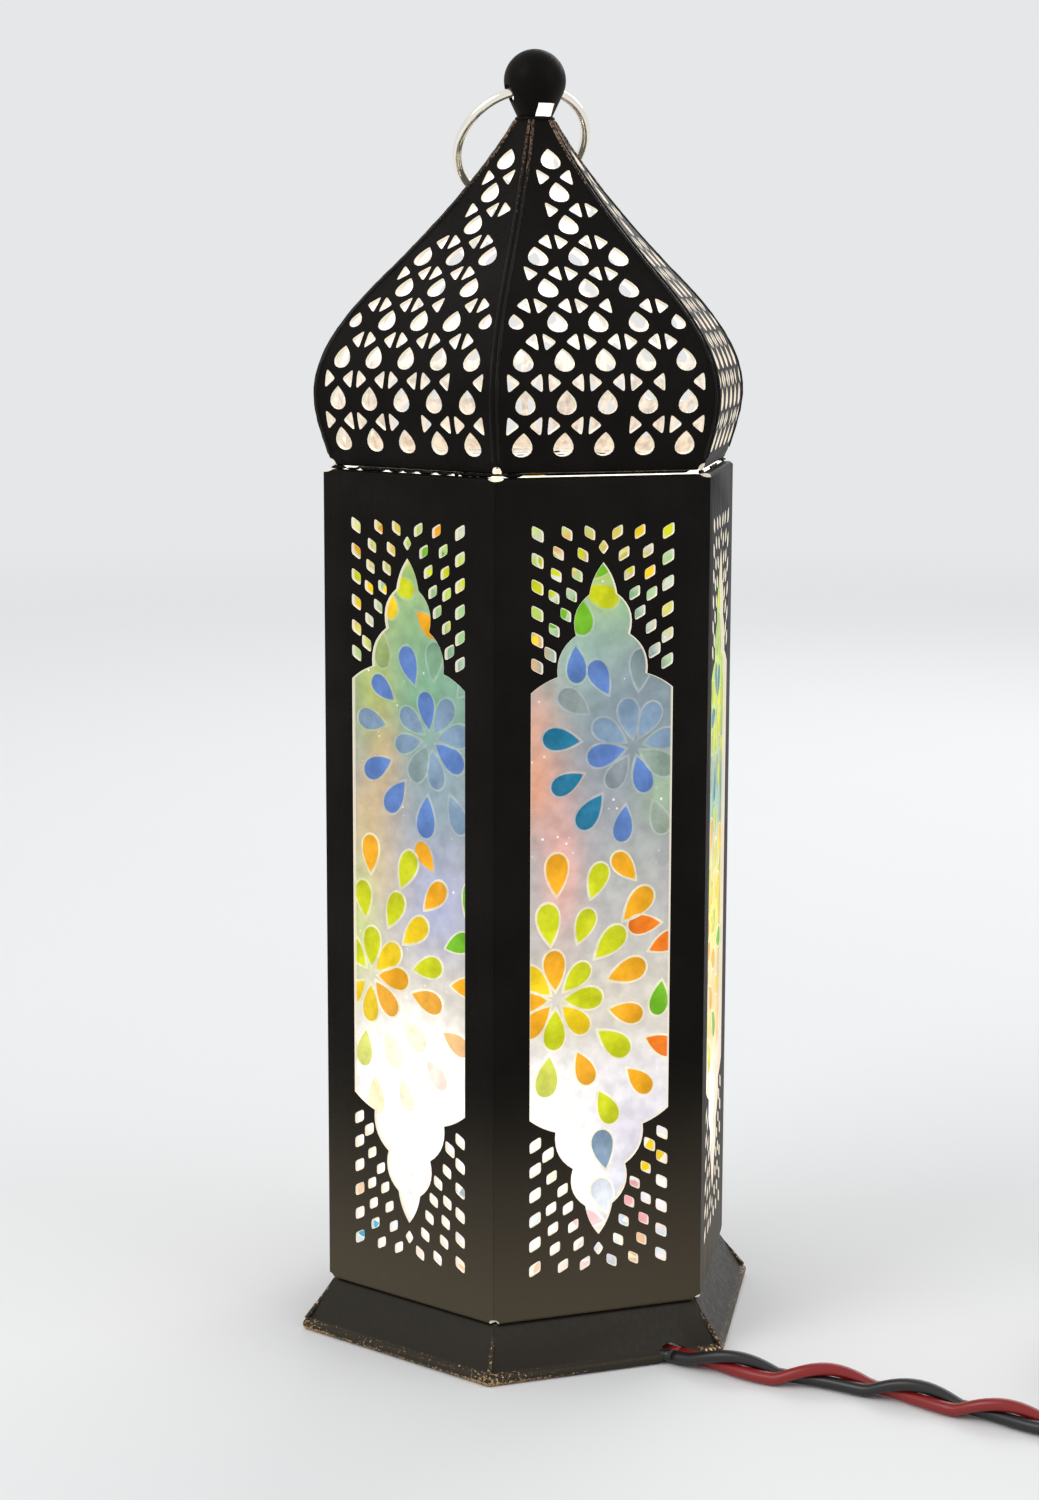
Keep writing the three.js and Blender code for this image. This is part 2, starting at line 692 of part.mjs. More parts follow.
const holderTop = holderBottom + holderHeight;
const ledge = holderTop - holderRingHeight;
addPiece('lamp_holder', lathe([
  [nippleRadius + clearance, holderBottom], [holderRadius - 1, holderBottom],
  [holderRadius, holderBottom + 1], [holderRadius, ledge - 3],
  [holderRadius - 2, ledge - 2], [holderRadius - 2, holderTop],
  [holderBore, holderTop], [holderBore, holderBottom + holderFloor],
  [nippleRadius + clearance, holderBottom + holderFloor], [nippleRadius + clearance, holderBottom],
]), holderPlastic);
addPiece('holder_ring', lathe([
  [holderRadius - 2 + clearance, ledge - 2 + clearance], [holderRadius + 1, ledge - 2 + clearance],
  [holderRadius + 1, holderTop], [holderRadius - 2 + clearance, holderTop],
  [holderRadius - 2 + clearance, ledge - 2 + clearance],
]), holderPlastic);

const contactTop = holderBottom + holderFloor + clearance + 1;
addPiece('holder_contact', lathe([
  [0, contactTop - 1], [contactRadius, contactTop - 1], [contactRadius, contactTop], [0, contactTop],
]), brass);

const capBottom = contactTop + clearance;
addPiece('bulb_cap', lathe([
  [0, capBottom], [bulbCapRadius * 0.45, capBottom], [bulbCapRadius * 0.8, capBottom + 2.5],
  [bulbCapRadius, capBottom + 3], [bulbCapRadius, capBottom + bulbCapHeight], [0, capBottom + bulbCapHeight],
]), brass);

const bulbBottom = capBottom + bulbCapHeight + clearance;
function bulbProfile() {
  const points = [[0, bulbBottom], [bulbCapRadius - 0.4, bulbBottom], [bulbCapRadius - 0.2, bulbBottom + 3]];
  const middle = bulbBottom + bulbLength - bulbRadius;
  points.push([bulbRadius, middle - 3]);
  for (let k = 0; k < 5; k++) {
    const a = k * Math.PI / 10;
    points.push([bulbRadius * Math.cos(a), middle + bulbRadius * Math.sin(a)]);
  }
  points.push([0, middle + bulbRadius]);
  return points;
}
addPiece('bulb_glass', lathe(bulbProfile(), 12), bulbGlass);

// Cord
function tube(curve, radius, sides, steps) {
  const circle = new THREE.Shape();
  for (let k = 0; k < sides; k++) {
    const a = 2 * Math.PI * (k + 0.5) / sides;
    if (k === 0) circle.moveTo(radius * Math.cos(a), radius * Math.sin(a));
    else circle.lineTo(radius * Math.cos(a), radius * Math.sin(a));
  }
  return new THREE.ExtrudeGeometry(circle, { steps, extrudePath: curve });
}

function spline(points) {
  return new THREE.CatmullRomCurve3(points.map((p) => new THREE.Vector3(...p)), false, 'centripetal');
}

const stepsFor = (curve) => Math.round(curve.getLength() / (5 * cordRadius));

const leadCurve = spline(leadPoints);
addPiece('inner_lead', tube(leadCurve, cordRadius, tubeSides, 9), cordPlastic);

const coilSweep = 2 * Math.PI * coilTurns;
const coilFrom = coilStart * Math.PI / 180;

class CoilPath extends THREE.Curve {
  getPoint(t, target = new THREE.Vector3()) {
    const angle = coilSweep * t;
    const half = coilSweep / 2;
    const innermost = coilMeanRadius - coilPitch * coilTurns / 4;
    const radius = innermost + coilPitch * Math.abs(angle - half) / (2 * Math.PI);
    const climb = THREE.MathUtils.smoothstep(angle, half - Math.PI / 2, half + Math.PI / 2);
    return target.set(
      coilCentre[0] + radius * Math.cos(coilFrom + angle),
      coilCentre[1] + radius * Math.sin(coilFrom + angle),
      coilFloor + coilPitch * climb,
    );
  }
}

const coil = new CoilPath();
const coilSteps = Math.round(coilTurns * loopSteps);
addPiece('cord_coil', tube(coil, cordRadius, loopSides, coilSteps), cordPlastic);

function leastSelfGap(curve, steps, radius, along) {
  const points = curve.getSpacedPoints(steps);
  let least = Infinity;
  for (let i = 0; i < points.length; i++) {
    for (let j = i + Math.ceil(along * steps); j < points.length; j++) {
      least = Math.min(least, points[i].distanceTo(points[j]));
    }
  }
  return least - 2 * radius;
}

const coilGap = leastSelfGap(coil, coilSteps * 4, cordRadius, 0.5 / coilTurns);
console.log(`least gap of the coil to itself ${coilGap.toFixed(2)}`);

// The free stretch ends square to the coil's first turn, and the tail starts square to its last.
const coilIn = coil.getPoint(0);
const coilInAlong = coil.getTangent(0);
const coilOut = coil.getPoint(1);
const coilOutAlong = coil.getTangent(1);
const coilBefore = (gap) => coilIn.clone().addScaledVector(coilInAlong, -gap).toArray();
const freeCurve = spline([...cordPoints, coilBefore(2 * cordRadius + clearance), coilBefore(clearance)]);
addPiece('cord_free', tube(freeCurve, cordRadius, tubeSides, stepsFor(freeCurve)), cordPlastic);

// The tail leaves the top layer, passes round the outside of the turn below and runs into the plug.
const plugMiddle = plugThickness / 2 + clearance;
const outerTurn = Math.hypot(coilIn.x - coilCentre[0], coilIn.y - coilCentre[1]);

function tailPoints() {
  const points = [coilOut.clone().addScaledVector(coilOutAlong, clearance).toArray(),
    coilOut.clone().addScaledVector(coilOutAlong, 2 * cordRadius).toArray()];
  const from = coilFrom + coilSweep + 0.22;
  const fullTurns = Math.ceil((coilFrom + coilSweep) / (2 * Math.PI));
  const to = 2 * Math.PI * fullTurns + plugTurn * Math.PI / 180;
  const steps = 7;
  for (let k = 1; k <= steps; k++) {
    const turn = from + (to - from) * k / steps;
    const round = Math.PI / 2 * THREE.MathUtils.smoothstep(k / steps, 0, 0.85);
    const radius = outerTurn + coilPitch * 1.1 * Math.sin(round);
    points.push([
      coilCentre[0] + radius * Math.cos(turn), coilCentre[1] + radius * Math.sin(turn),
      coilFloor + coilPitch * Math.cos(round),
    ]);
  }
  return points;
}

const tailRun = tailPoints();
const tailEnd = new THREE.Vector3(...tailRun[tailRun.length - 1]);
const leadIn = plugTurn * Math.PI / 180;
const tailAlong = new THREE.Vector3(-Math.sin(leadIn), Math.cos(leadIn), 0);
const sleeveStart = tailEnd.clone().addScaledVector(tailAlong, 30).setZ(plugMiddle);
tailRun.push(tailEnd.clone().addScaledVector(tailAlong, 12).setZ(coilFloor + 0.9).toArray());
tailRun.push(sleeveStart.clone().addScaledVector(tailAlong, -2 * cordRadius).toArray());
tailRun.push(sleeveStart.clone().addScaledVector(tailAlong, -clearance).toArray());
const tailCurve = spline(tailRun);
addPiece('cord_tail', tube(tailCurve, cordRadius, tubeSides, 9), cordPlastic);

const cordLength = freeCurve.getLength() + coil.getLength() + tailCurve.getLength();
console.log(`cord length from the foot to the plug ${cordLength.toFixed(1)}`);

// Tie round the bundle of turns
function coilTie() {
  const innermost = coilMeanRadius - coilPitch * coilTurns / 4;
  const pass = (turns) => innermost + coilPitch * Math.abs(turns - coilTurns / 2);
  const first = (((tieTurn - coilStart) % 360) + 360) % 360 / 360;
  const radii = [];
  for (let turns = first; turns < coilTurns; turns += 1) radii.push(pass(turns));
  const slack = cordRadius + clearance + 0.2;
  const near = Math.min(...radii) - slack;
  const far = Math.max(...radii) + slack;
  const low = coilFloor - cordRadius - clearance;
  const high = coilFloor + coilPitch + cordRadius + clearance;
  const band = (grow) => {
    const c = cordRadius * 0.6 + grow;
    return [
      [near - grow + c, low - grow], [far + grow - c, low - grow], [far + grow, low - grow + c],
      [far + grow, high + grow - c], [far + grow - c, high + grow], [near - grow + c, high + grow],
      [near - grow, high + grow - c], [near - grow, low - grow + c],
    ];
  };
  const outline = shapeOf(band(tieThickness));
  outline.holes.push(new THREE.Path(band(0).map(([x, y]) => new THREE.Vector2(x, y)).reverse()));
  const tie = extrude(outline, tieWidth);
  tie.translate(0, 0, -tieWidth / 2);
  tie.rotateX(Math.PI / 2);
  tie.rotateZ(tieTurn * Math.PI / 180);
  tie.translate(coilCentre[0], coilCentre[1], 0);
  return tie;
}

addPiece('cord_tie', coilTie(), plugPlastic);

// Plug: local +X runs from the cord towards the pins.
const plug = new THREE.Group();
plug.position.copy(sleeveStart);
plug.rotation.z = Math.atan2(tailAlong.y, tailAlong.x);
lantern.add(plug);

function plugBody() {
  const w = plugWidth / 2;
  const neck = sleeveRadius + 1.5;
  const outline = new THREE.Shape();
  outline.moveTo(sleeveLength, -neck);
  outline.quadraticCurveTo(sleeveLength + plugShoulder / 2, -w, sleeveLength + plugShoulder, -w);
  outline.lineTo(sleeveLength + plugLength, -w);
  outline.lineTo(sleeveLength + plugLength, w);
  outline.lineTo(sleeveLength + plugShoulder, w);
  outline.quadraticCurveTo(sleeveLength + plugShoulder / 2, w, sleeveLength, neck);
  const housing = new THREE.ExtrudeGeometry(outline, {
    depth: plugThickness - 2 * plugEdge, curveSegments: 4,
    bevelThickness: plugEdge, bevelSize: plugEdge, bevelOffset: -plugEdge, bevelSegments: 1,
  });
  housing.translate(0, 0, plugEdge - plugThickness / 2);
  const sleeve = new THREE.CylinderGeometry(sleeveRadius, sleeveTip, sleeveLength + 3, 14);
  sleeve.rotateZ(-Math.PI / 2);
  sleeve.translate((sleeveLength + 3) / 2, 0, 0);
  const bores = [-1, 1].map((side) => {
    const radius = pinRadius + clearance;
    const bore = new THREE.CylinderGeometry(radius, radius, 2 * pinSeat + 1, 12);
    bore.rotateZ(Math.PI / 2);
    return bore.translate(sleeveLength + plugLength, side * pinSpacing / 2, 0);
  });
  const joined = toSolid(housing).add(toSolid(sleeve));
  return toGeometry(joined.subtract(toSolid(mergeGeometries(bores.map(positionsOnly)))));
}

addPiece('plug_body', plugBody(), plugPlastic, plug);

[-1, 1].forEach((side, i) => {
  const length = pinReach + pinSeat;
  const pin = new THREE.LatheGeometry([
    new THREE.Vector2(0, 0), new THREE.Vector2(pinRadius, 0), new THREE.Vector2(pinRadius, length - 1.4),
    new THREE.Vector2(pinRadius * 0.6, length), new THREE.Vector2(0, length),
  ], 10);
  pin.rotateZ(-Math.PI / 2);
  pin.translate(sleeveLength + plugLength - pinSeat, side * pinSpacing / 2, 0);
  addPiece(`plug_pin_${i + 1}`, pin, brass, plug);
});

export default lantern;
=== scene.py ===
import math
import random

import bpy
from mathutils import Matrix, Vector


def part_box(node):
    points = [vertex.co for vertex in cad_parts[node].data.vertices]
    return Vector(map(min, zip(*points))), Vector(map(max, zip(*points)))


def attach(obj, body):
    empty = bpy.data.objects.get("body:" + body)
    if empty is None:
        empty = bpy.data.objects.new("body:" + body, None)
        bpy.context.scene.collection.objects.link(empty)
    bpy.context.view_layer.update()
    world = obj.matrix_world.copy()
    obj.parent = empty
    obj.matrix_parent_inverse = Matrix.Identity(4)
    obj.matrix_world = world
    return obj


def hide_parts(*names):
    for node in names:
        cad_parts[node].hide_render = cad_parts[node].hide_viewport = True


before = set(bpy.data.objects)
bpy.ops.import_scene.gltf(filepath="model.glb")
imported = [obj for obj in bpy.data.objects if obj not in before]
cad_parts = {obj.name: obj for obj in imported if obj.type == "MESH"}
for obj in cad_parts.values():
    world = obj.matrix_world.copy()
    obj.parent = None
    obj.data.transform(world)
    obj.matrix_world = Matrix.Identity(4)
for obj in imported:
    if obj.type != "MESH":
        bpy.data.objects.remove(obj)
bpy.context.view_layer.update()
print("frame loaded")

# Pierced table lantern with a lamp inside, in metres. A corner of the hexagon points along -Y.
mm = 0.001
faceCount = 6
halfFace = math.pi / faceCount
faceSlope = math.tan(halfFace)          # half width of a face for each metre from the axis
panelLow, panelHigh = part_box("body_panel_3")
goreLow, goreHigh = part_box("dome_gore_3")
_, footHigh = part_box("foot_panel_3")
paneLow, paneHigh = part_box("glass_pane_3")
bodyFlat, bodyBottom, bodyTop = panelHigh.x, panelLow.z, panelHigh.z
domeBottom, domeTip = goreLow.z, goreHigh.z
foldEdge = panelLow.x                   # inner edge of the folds where body and foot meet
sheetThickness = 0.8 * mm


# Camera and cord

photo = {
    "place": (0.11205, -0.67430, 0.24790),
    "target": (-0.00304, -0.00052, 0.13715),
    "roll": math.radians(0.17),
    "lens": 69.76,
}


def addCamera():
    bpy.ops.object.camera_add(location=photo["place"])
    camera = bpy.context.object
    aim = (Vector(photo["target"]) - Vector(photo["place"])).to_track_quat("-Z", "Y")
    camera.rotation_euler = (aim.to_matrix() @ Matrix.Rotation(photo["roll"], 3, "Z")).to_euler()
    camera.data.sensor_fit = "VERTICAL"
    camera.data.sensor_height = 36
    camera.data.lens = photo["lens"]
    bpy.context.scene.camera = camera


addCamera()
print("camera placed")


# Helpers for shapes

tiny = 1e-6                             # metres: two places that are nearer than this are one
upwards = Vector((0, 0, 1))


def clamp(value):
    return min(max(value, 0), 1)


def ease(t):
    return t * t * (3 - 2 * t)


def quadratic(a, b, c, t):
    return (1 - t) ** 2 * a + 2 * t * (1 - t) * b + t * t * c


# Turns and moves a piece from its own axes to the given ones
def axesAt(x, y, z, origin):
    place = Matrix((x, y, z)).transposed().to_4x4()
    place.translation = origin
    return place


def clearSelection():
    if bpy.context.object and bpy.context.object.mode != "OBJECT":
        bpy.ops.object.mode_set(mode="OBJECT")
    bpy.ops.object.select_all(action="DESELECT")


def makeActive(piece):
    clearSelection()
    piece.select_set(True)
    bpy.context.view_layer.objects.active = piece


def editAll(piece):
    makeActive(piece)
    bpy.ops.object.mode_set(mode="EDIT")
    bpy.ops.mesh.select_all(action="SELECT")


def backToObject():
    bpy.ops.object.mode_set(mode="OBJECT")


def selectNone(piece, kind):
    makeActive(piece)
    bpy.ops.object.mode_set(mode="EDIT")
    bpy.ops.mesh.select_mode(type=kind)
    bpy.ops.mesh.select_all(action="DESELECT")
    backToObject()


# These two leave the piece in edit mode, with what passes the test selected.
def selectFaces(piece, test):
    selectNone(piece, "FACE")
    for face in piece.data.polygons:
        face.select = test(face)
    bpy.ops.object.mode_set(mode="EDIT")


def selectEdges(piece, test):
    selectNone(piece, "EDGE")
    corners = piece.data.vertices
    for edge in piece.data.edges:
        edge.select = test(corners[edge.vertices[0]].co, corners[edge.vertices[1]].co)
    bpy.ops.object.mode_set(mode="EDIT")


def bevelEdges(piece, test, width, segments):
    selectEdges(piece, test)
    bpy.ops.mesh.bevel(offset=width, segments=segments, affect="EDGES", clamp_overlap=True)
    backToObject()


def splitAcross(piece, normal, places):
    editAll(piece)
    for place in places:
        bpy.ops.mesh.select_all(action="SELECT")
        bpy.ops.mesh.bisect(plane_co=Vector(normal) * place, plane_no=normal)
    backToObject()


def smoothByAngle(piece, degrees):
    makeActive(piece)
    bpy.ops.object.shade_smooth_by_angle(angle=math.radians(degrees))


# Ends an edit with every face turned outwards
def finishOutwards():
    bpy.ops.mesh.select_all(action="SELECT")
    bpy.ops.mesh.normals_make_consistent(inside=False)
    backToObject()


def flipFaces(piece):
    editAll(piece)
    bpy.ops.mesh.flip_normals()
    backToObject()


def cleanShell(piece):
    editAll(piece)
    bpy.ops.mesh.remove_doubles(threshold=tiny)
    bpy.ops.mesh.delete_loose()
    finishOutwards()


def applyModifiers(piece):
    makeActive(piece)
    for modifier in list(piece.modifiers):
        bpy.ops.object.modifier_apply(modifier=modifier.name)


# The object that Blender has just made, with its place worked into its corners
def settledPiece():
    bpy.ops.object.transform_apply(location=True, rotation=True, scale=True)
    return bpy.context.object


def addMaterials(piece, *materials):
    for material in materials:
        piece.data.materials.append(material)


# A filled outline whose corners are given as places in space, in order
def outlinePiece(name, points, filled=True):
    clearSelection()
    bpy.ops.mesh.primitive_circle_add(vertices=len(points), fill_type="NGON" if filled else "NOTHING")
    piece = bpy.context.object
    piece.name = name
    piece.data.name = name
    for corner, point in zip(piece.data.vertices, points):
        corner.co = point
    return piece


def extrudeBy(piece, move):
    editAll(piece)
    bpy.ops.mesh.extrude_region_move(TRANSFORM_OT_translate={"value": move})
    finishOutwards()


def copyOf(piece, name, place=None):
    twin = piece.copy()
    twin.data = piece.data.copy()
    twin.name = name
    twin.data.name = name
    bpy.context.scene.collection.objects.link(twin)
    if place is not None:
        twin.data.transform(place)
        if place.determinant() < 0:
            twin.data.flip_normals()
    return twin


def joinPieces(pieces, name):
    makeActive(pieces[0])
    for piece in pieces[1:]:
        piece.select_set(True)
    bpy.ops.object.join()
    joined = bpy.context.object
    joined.name = name
    joined.data.name = name
    return joined


def removePiece(piece):
    bpy.data.objects.remove(piece)


def combine(piece, tool, operation):
    change = piece.modifiers.new("combine", "BOOLEAN")
    change.operation = operation
    change.solver = "EXACT"
    change.material_mode = "TRANSFER"
    change.object = tool
    applyModifiers(piece)
    removePiece(tool)


def cutWith(piece, tool):
    combine(piece, tool, "DIFFERENCE")


# A section turned round the upright axis, without its edges on the axis
def turnedPiece(name, section, steps):
    piece = outlinePiece(name, [(x, 0, z) for x, z in section], filled=False)
    selectEdges(piece, lambda a, b: a.x < tiny and b.x < tiny)
    bpy.ops.mesh.delete(type="EDGE")
    backToObject()
    editAll(piece)
    bpy.ops.mesh.spin(steps=steps, angle=2 * math.pi, center=(0, 0, 0), axis=(0, 0, 1))
    backToObject()
    cleanShell(piece)
    return piece


# A closed section run along one side of the hexagon, with both ends mitred
def mitredPiece(name, section, gap):
    piece = outlinePiece(name, [(x, -1, z) for x, z in section])
    extrudeBy(piece, (0, 2, 0))
    for corner in piece.data.vertices:
        corner.co.y = math.copysign(corner.co.x * faceSlope - gap, corner.co.y)
    return piece


# From the side that faces +X to the numbered one
def faceTurn(number):
    return Matrix.Rotation((2 * (number - 1) - 4) * halfFace, 4, "Z")


# A smooth curve through the points, with the given number of steps between each two
def smoothRun(points, steps):
    ends = [2 * points[0] - points[1], *points, 2 * points[-1] - points[-2]]
    run = []
    for k in range(1, len(points)):
        before, start, end, after = ends[k - 1:k + 3]
        first, middle, last = [max((b - a).length ** 0.5, 1e-6) for a, b in
                               ((before, start), (start, end), (end, after))]
        leave = (start - before) / first - (end - before) / (first + middle) + (end - start) / middle
        arrive = (end - start) / middle - (after - start) / (middle + last) + (after - end) / last
        leave, arrive = leave * middle, arrive * middle
        for j in range(steps):
            t = j / steps
            run.append((2 * t ** 3 - 3 * t ** 2 + 1) * start + (t ** 3 - 2 * t ** 2 + t) * leave
                       + (3 * t ** 2 - 2 * t ** 3) * end + (t ** 3 - t ** 2) * arrive)
    return run + [points[-1]]


# The same curve in even steps, and its length
def evenRun(run, step):
    lengths = [0]
    for a, b in zip(run, run[1:]):
        lengths.append(lengths[-1] + (b - a).length)
    count = max(2, round(lengths[-1] / step))
    even, k = [], 0
    for j in range(count + 1):
        at = lengths[-1] * j / count
        while k < len(run) - 2 and lengths[k + 1] < at:
            k += 1
        t = (at - lengths[k]) / max(lengths[k + 1] - lengths[k], 1e-9)
        even.append(run[k].lerp(run[k + 1], clamp(t)))
    return even, lengths[-1]


cord = {
    "pair": 6.0 * mm,                   # across both strands
    "strand": 1.48 * mm,                # radius of one strand's insulation
    "lay": 42.8 * mm,                   # length of one full twist
    "phase": math.radians(143),         # where the red strand stands at the foot
    "untwisted": 5 * mm,                # the strands lie flat for this length each way from the notch
    "floorHeight": 3.2 * mm,            # middle of the pair where it lies on the floor
    "settle": 0.8 * mm,                 # above this, neither strand is pressed down to the floor
    "step": 1.6 * mm,
    "sides": 12,
    "lead": [                           # inside the lantern, from the holder to the notch in the foot
        (7.0, -8.4, 18.2), (8.3, -9.9, 18.2), (10.6, -12.6, 18.2), (14.4, -16.6, 16.9), (18.6, -20.4, 13.2),
        (22.8, -23.9, 8.6), (27.4, -27.3, 5.0), (32.6, -30.6, 3.4), (37.4, -33.3, 3.2), (40.2, -34.64, 3.2),
    ],
    "free": [                           # from the notch to the coil
        (40.2, -34.64, 3.2), (45.9, -37.4, 3.2), (52.0, -40.2, 3.2), (58.2, -42.4, 3.2), (64.4, -43.8, 3.2),
        (70.6, -44.5, 3.2), (76.6, -45.0, 3.2), (82.4, -46.2, 3.2), (88.6, -48.4, 3.2), (94.6, -50.9, 3.2),
        (100.7, -53.4, 3.2), (107.2, -56.2, 3.2), (114.0, -58.9, 3.2), (121.4, -61.6, 3.2),
        (129.0, -64.3, 3.3), (137.0, -67.2, 3.6), (145.0, -70.1, 4.0), (153.0, -73.0, 4.2),
    ],
}

coil = {
    "centre": Vector((177.0, -34.3, 0)) * mm,
    "start": math.radians(-110),
    "turns": 6.22,
    "middle": 33 * mm,                  # radius at the middle of the turns
    "pitch": 6.55 * mm,
    "floor": 4.3 * mm,
    "steps": 120,                       # for each turn
}

tail = {
    "clearance": 0.3 * mm,
    "plugTurn": math.radians(45),
    "leaves": 0.22,                     # angle past the coil's end where it is clear of the coil
    "points": 7,
    "down": 0.85,                       # share of the way to the plug where it is back on the floor
    "outwards": 1.1,                    # shares of the coil's pitch
    "plugMiddle": 7.0 * mm,
    "leadIn": 12 * mm,                  # straight on from the last point of the round stretch
    "leadInRise": 0.9 * mm,
    "sleeve": 30 * mm,
    "intoSleeve": 1.5 * mm,
}


def coilPoint(angle):
    half = math.pi * coil["turns"]
    inner = coil["middle"] - coil["pitch"] * coil["turns"] / 4
    radius = inner + coil["pitch"] * abs(angle - half) / (2 * math.pi)
    height = coil["floor"] + coil["pitch"] * ease(clamp((angle - half) / math.pi + 0.5))
    around = coil["start"] + angle
    return coil["centre"] + Vector((radius * math.cos(around), radius * math.sin(around), height))


def coilRun():
    count = round(coil["turns"] * coil["steps"])
    return [coilPoint(2 * math.pi * coil["turns"] * k / count) for k in range(count + 1)]


def tailPoints():
    sweep = 2 * math.pi * coil["turns"]
    out = coilPoint(sweep)
    along = (out - coilPoint(sweep - 0.001)).normalized()
    points = [out, out + along * cord["pair"]]
    outer = (coilPoint(0) - coil["centre"]).to_2d().length
    begin = coil["start"] + sweep + tail["leaves"]
    end = 2 * math.pi * math.ceil((coil["start"] + sweep) / (2 * math.pi)) + tail["plugTurn"]
    for k in range(1, tail["points"] + 1):
        share = k / tail["points"]
        turn = begin + (end - begin) * share
        roll = math.pi / 2 * ease(clamp(share / tail["down"]))
        radius = outer + coil["pitch"] * tail["outwards"] * math.sin(roll)
        points.append(coil["centre"] + Vector((radius * math.cos(turn), radius * math.sin(turn),
                                               coil["floor"] + coil["pitch"] * math.cos(roll))))
    return points


tailRun = tailPoints()
tailAlong = Vector((-math.sin(tail["plugTurn"]), math.cos(tail["plugTurn"]), 0))
sleeveStart = tailRun[-1] + tailAlong * tail["sleeve"]
sleeveStart.z = tail["plugMiddle"]
leadIn = tailRun[-1] + tailAlong * tail["leadIn"]
leadIn.z = coil["floor"] + tail["leadInRise"]
tailRun += [leadIn, sleeveStart - tailAlong * cord["pair"], sleeveStart + tailAlong * tail["intoSleeve"]]


# Two round strands laid round each other along a run of points
def strandPair(name, run, lengthBefore):
    corners, faces, strandOf = [], [], []
    sides, count = cord["sides"], len(run)
    for strand in range(2):
        travelled = lengthBefore
        first = len(corners)
        for k, point in enumerate(run):
            along = (run[min(k + 1, count - 1)] - run[max(k - 1, 0)]).normalized()
            side = along.cross(upwards).normalized()
            up = side.cross(along)
            if k:
                travelled += (point - run[k - 1]).length
            calm = cord["untwisted"]
            turned = travelled + calm * (1 - math.tanh(travelled / calm))
            twist = cord["phase"] + strand * math.pi + 2 * math.pi * turned / cord["lay"]
            middle = point + (side * math.cos(twist) + up * math.sin(twist)) * (cord["pair"] / 4)
            onFloor = clamp(1 - (point.z - cord["floorHeight"]) / cord["settle"])
            middle.z -= onFloor * cord["strand"] * (1 - abs(math.sin(twist)))
            for j in range(sides):
                a = 2 * math.pi * j / sides
                corners.append(middle + (side * math.cos(a) + up * math.sin(a)) * cord["strand"])
        for k in range(count - 1):
            for j in range(sides):
                a, b = first + k * sides + j, first + k * sides + (j + 1) % sides
                faces.append((a, b, b + sides, a + sides))
        faces.append(tuple(first + j for j in reversed(range(sides))))
        faces.append(tuple(first + (count - 1) * sides + j for j in range(sides)))
        strandOf += [strand] * (len(faces) - len(strandOf))
    mesh = bpy.data.meshes.new(name)
    mesh.from_pydata(corners, [], faces)
    for face, strand in zip(mesh.polygons, strandOf):
        face.material_index = strand
        face.use_smooth = len(face.vertices) == 4
    piece = bpy.data.objects.new(name, mesh)
    bpy.context.scene.collection.objects.link(piece)
    editAll(piece)
    finishOutwards()
    return piece


def makeCord():
    scaled = lambda points: [Vector(p) * mm for p in points]
    coilStart = coilPoint(0)
    coilAlong = (coilPoint(0.001) - coilStart).normalized()
    free = scaled(cord["free"]) + [coilStart - coilAlong * (cord["pair"] + tail["clearance"]), coilStart]
    whole = smoothRun(free, 12)[:-1] + coilRun()[:-1] + smoothRun(tailRun, 12)
    run, length = evenRun(whole, cord["step"])
    flex = strandPair("flex_pair", run, 0)
    lead, leadLength = evenRun(smoothRun(scaled(cord["lead"]), 8), cord["step"])
    inner = strandPair("holder_lead_pair", lead, -leadLength)
    return flex, inner, run, length


flexPair, leadPair, cordRun, cordLength = makeCord()
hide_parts("cord_free", "cord_coil", "cord_tail")
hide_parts("inner_lead")
print("cord laid, %.3f m" % cordLength)


# Materials

def newMaterial(name):
    material = bpy.data.materials.new(name)
    material.use_nodes = True
    tree = material.node_tree
    return material, tree, tree.nodes["Principled BSDF"]


def setShader(shader, **values):
    for name, value in values.items():
        shader.inputs[name.replace("_", " ")].default_value = value


# Gives a socket another node's output, a colour or a plain value
def feed(tree, source, socket):
    if isinstance(source, bpy.types.NodeSocket):
        tree.links.new(source, socket)
    elif source is not None:
        socket.default_value = (*source, 1) if isinstance(source, tuple) else source


def addRamp(tree, source, stops):
    ramp = tree.nodes.new("ShaderNodeValToRGB")
    while len(ramp.color_ramp.elements) < len(stops):
        ramp.color_ramp.elements.new(0.5)
    for element, (position, colour) in zip(ramp.color_ramp.elements, stops):
        element.position = position
        element.color = (*colour, 1)
    tree.links.new(source, ramp.inputs["Fac"])
    return ramp.outputs["Color"]


def addRange(tree, source, fromLow, fromHigh, toLow=0, toHigh=1, smooth=False):
    remap = tree.nodes.new("ShaderNodeMapRange")
    if smooth:
        remap.interpolation_type = "SMOOTHSTEP"
    for name, value in (("From Min", fromLow), ("From Max", fromHigh), ("To Min", toLow), ("To Max", toHigh)):
        remap.inputs[name].default_value = value
    tree.links.new(source, remap.inputs["Value"])
    return remap.outputs["Result"]


def addMix(tree, share, first, second, blend="MIX"):
    mix = tree.nodes.new("ShaderNodeMix")
    mix.data_type = "RGBA"
    mix.blend_type = blend
    for source, number in ((share, 0), (first, 6), (second, 7)):
        feed(tree, source, mix.inputs[number])
    return mix.outputs[2]


def addMath(tree, operation, *sources):
    result = tree.nodes.new("ShaderNodeMath")
    result.operation = operation
    for source, socket in zip(sources, result.inputs):
        feed(tree, source, socket)
    return result.outputs["Value"]


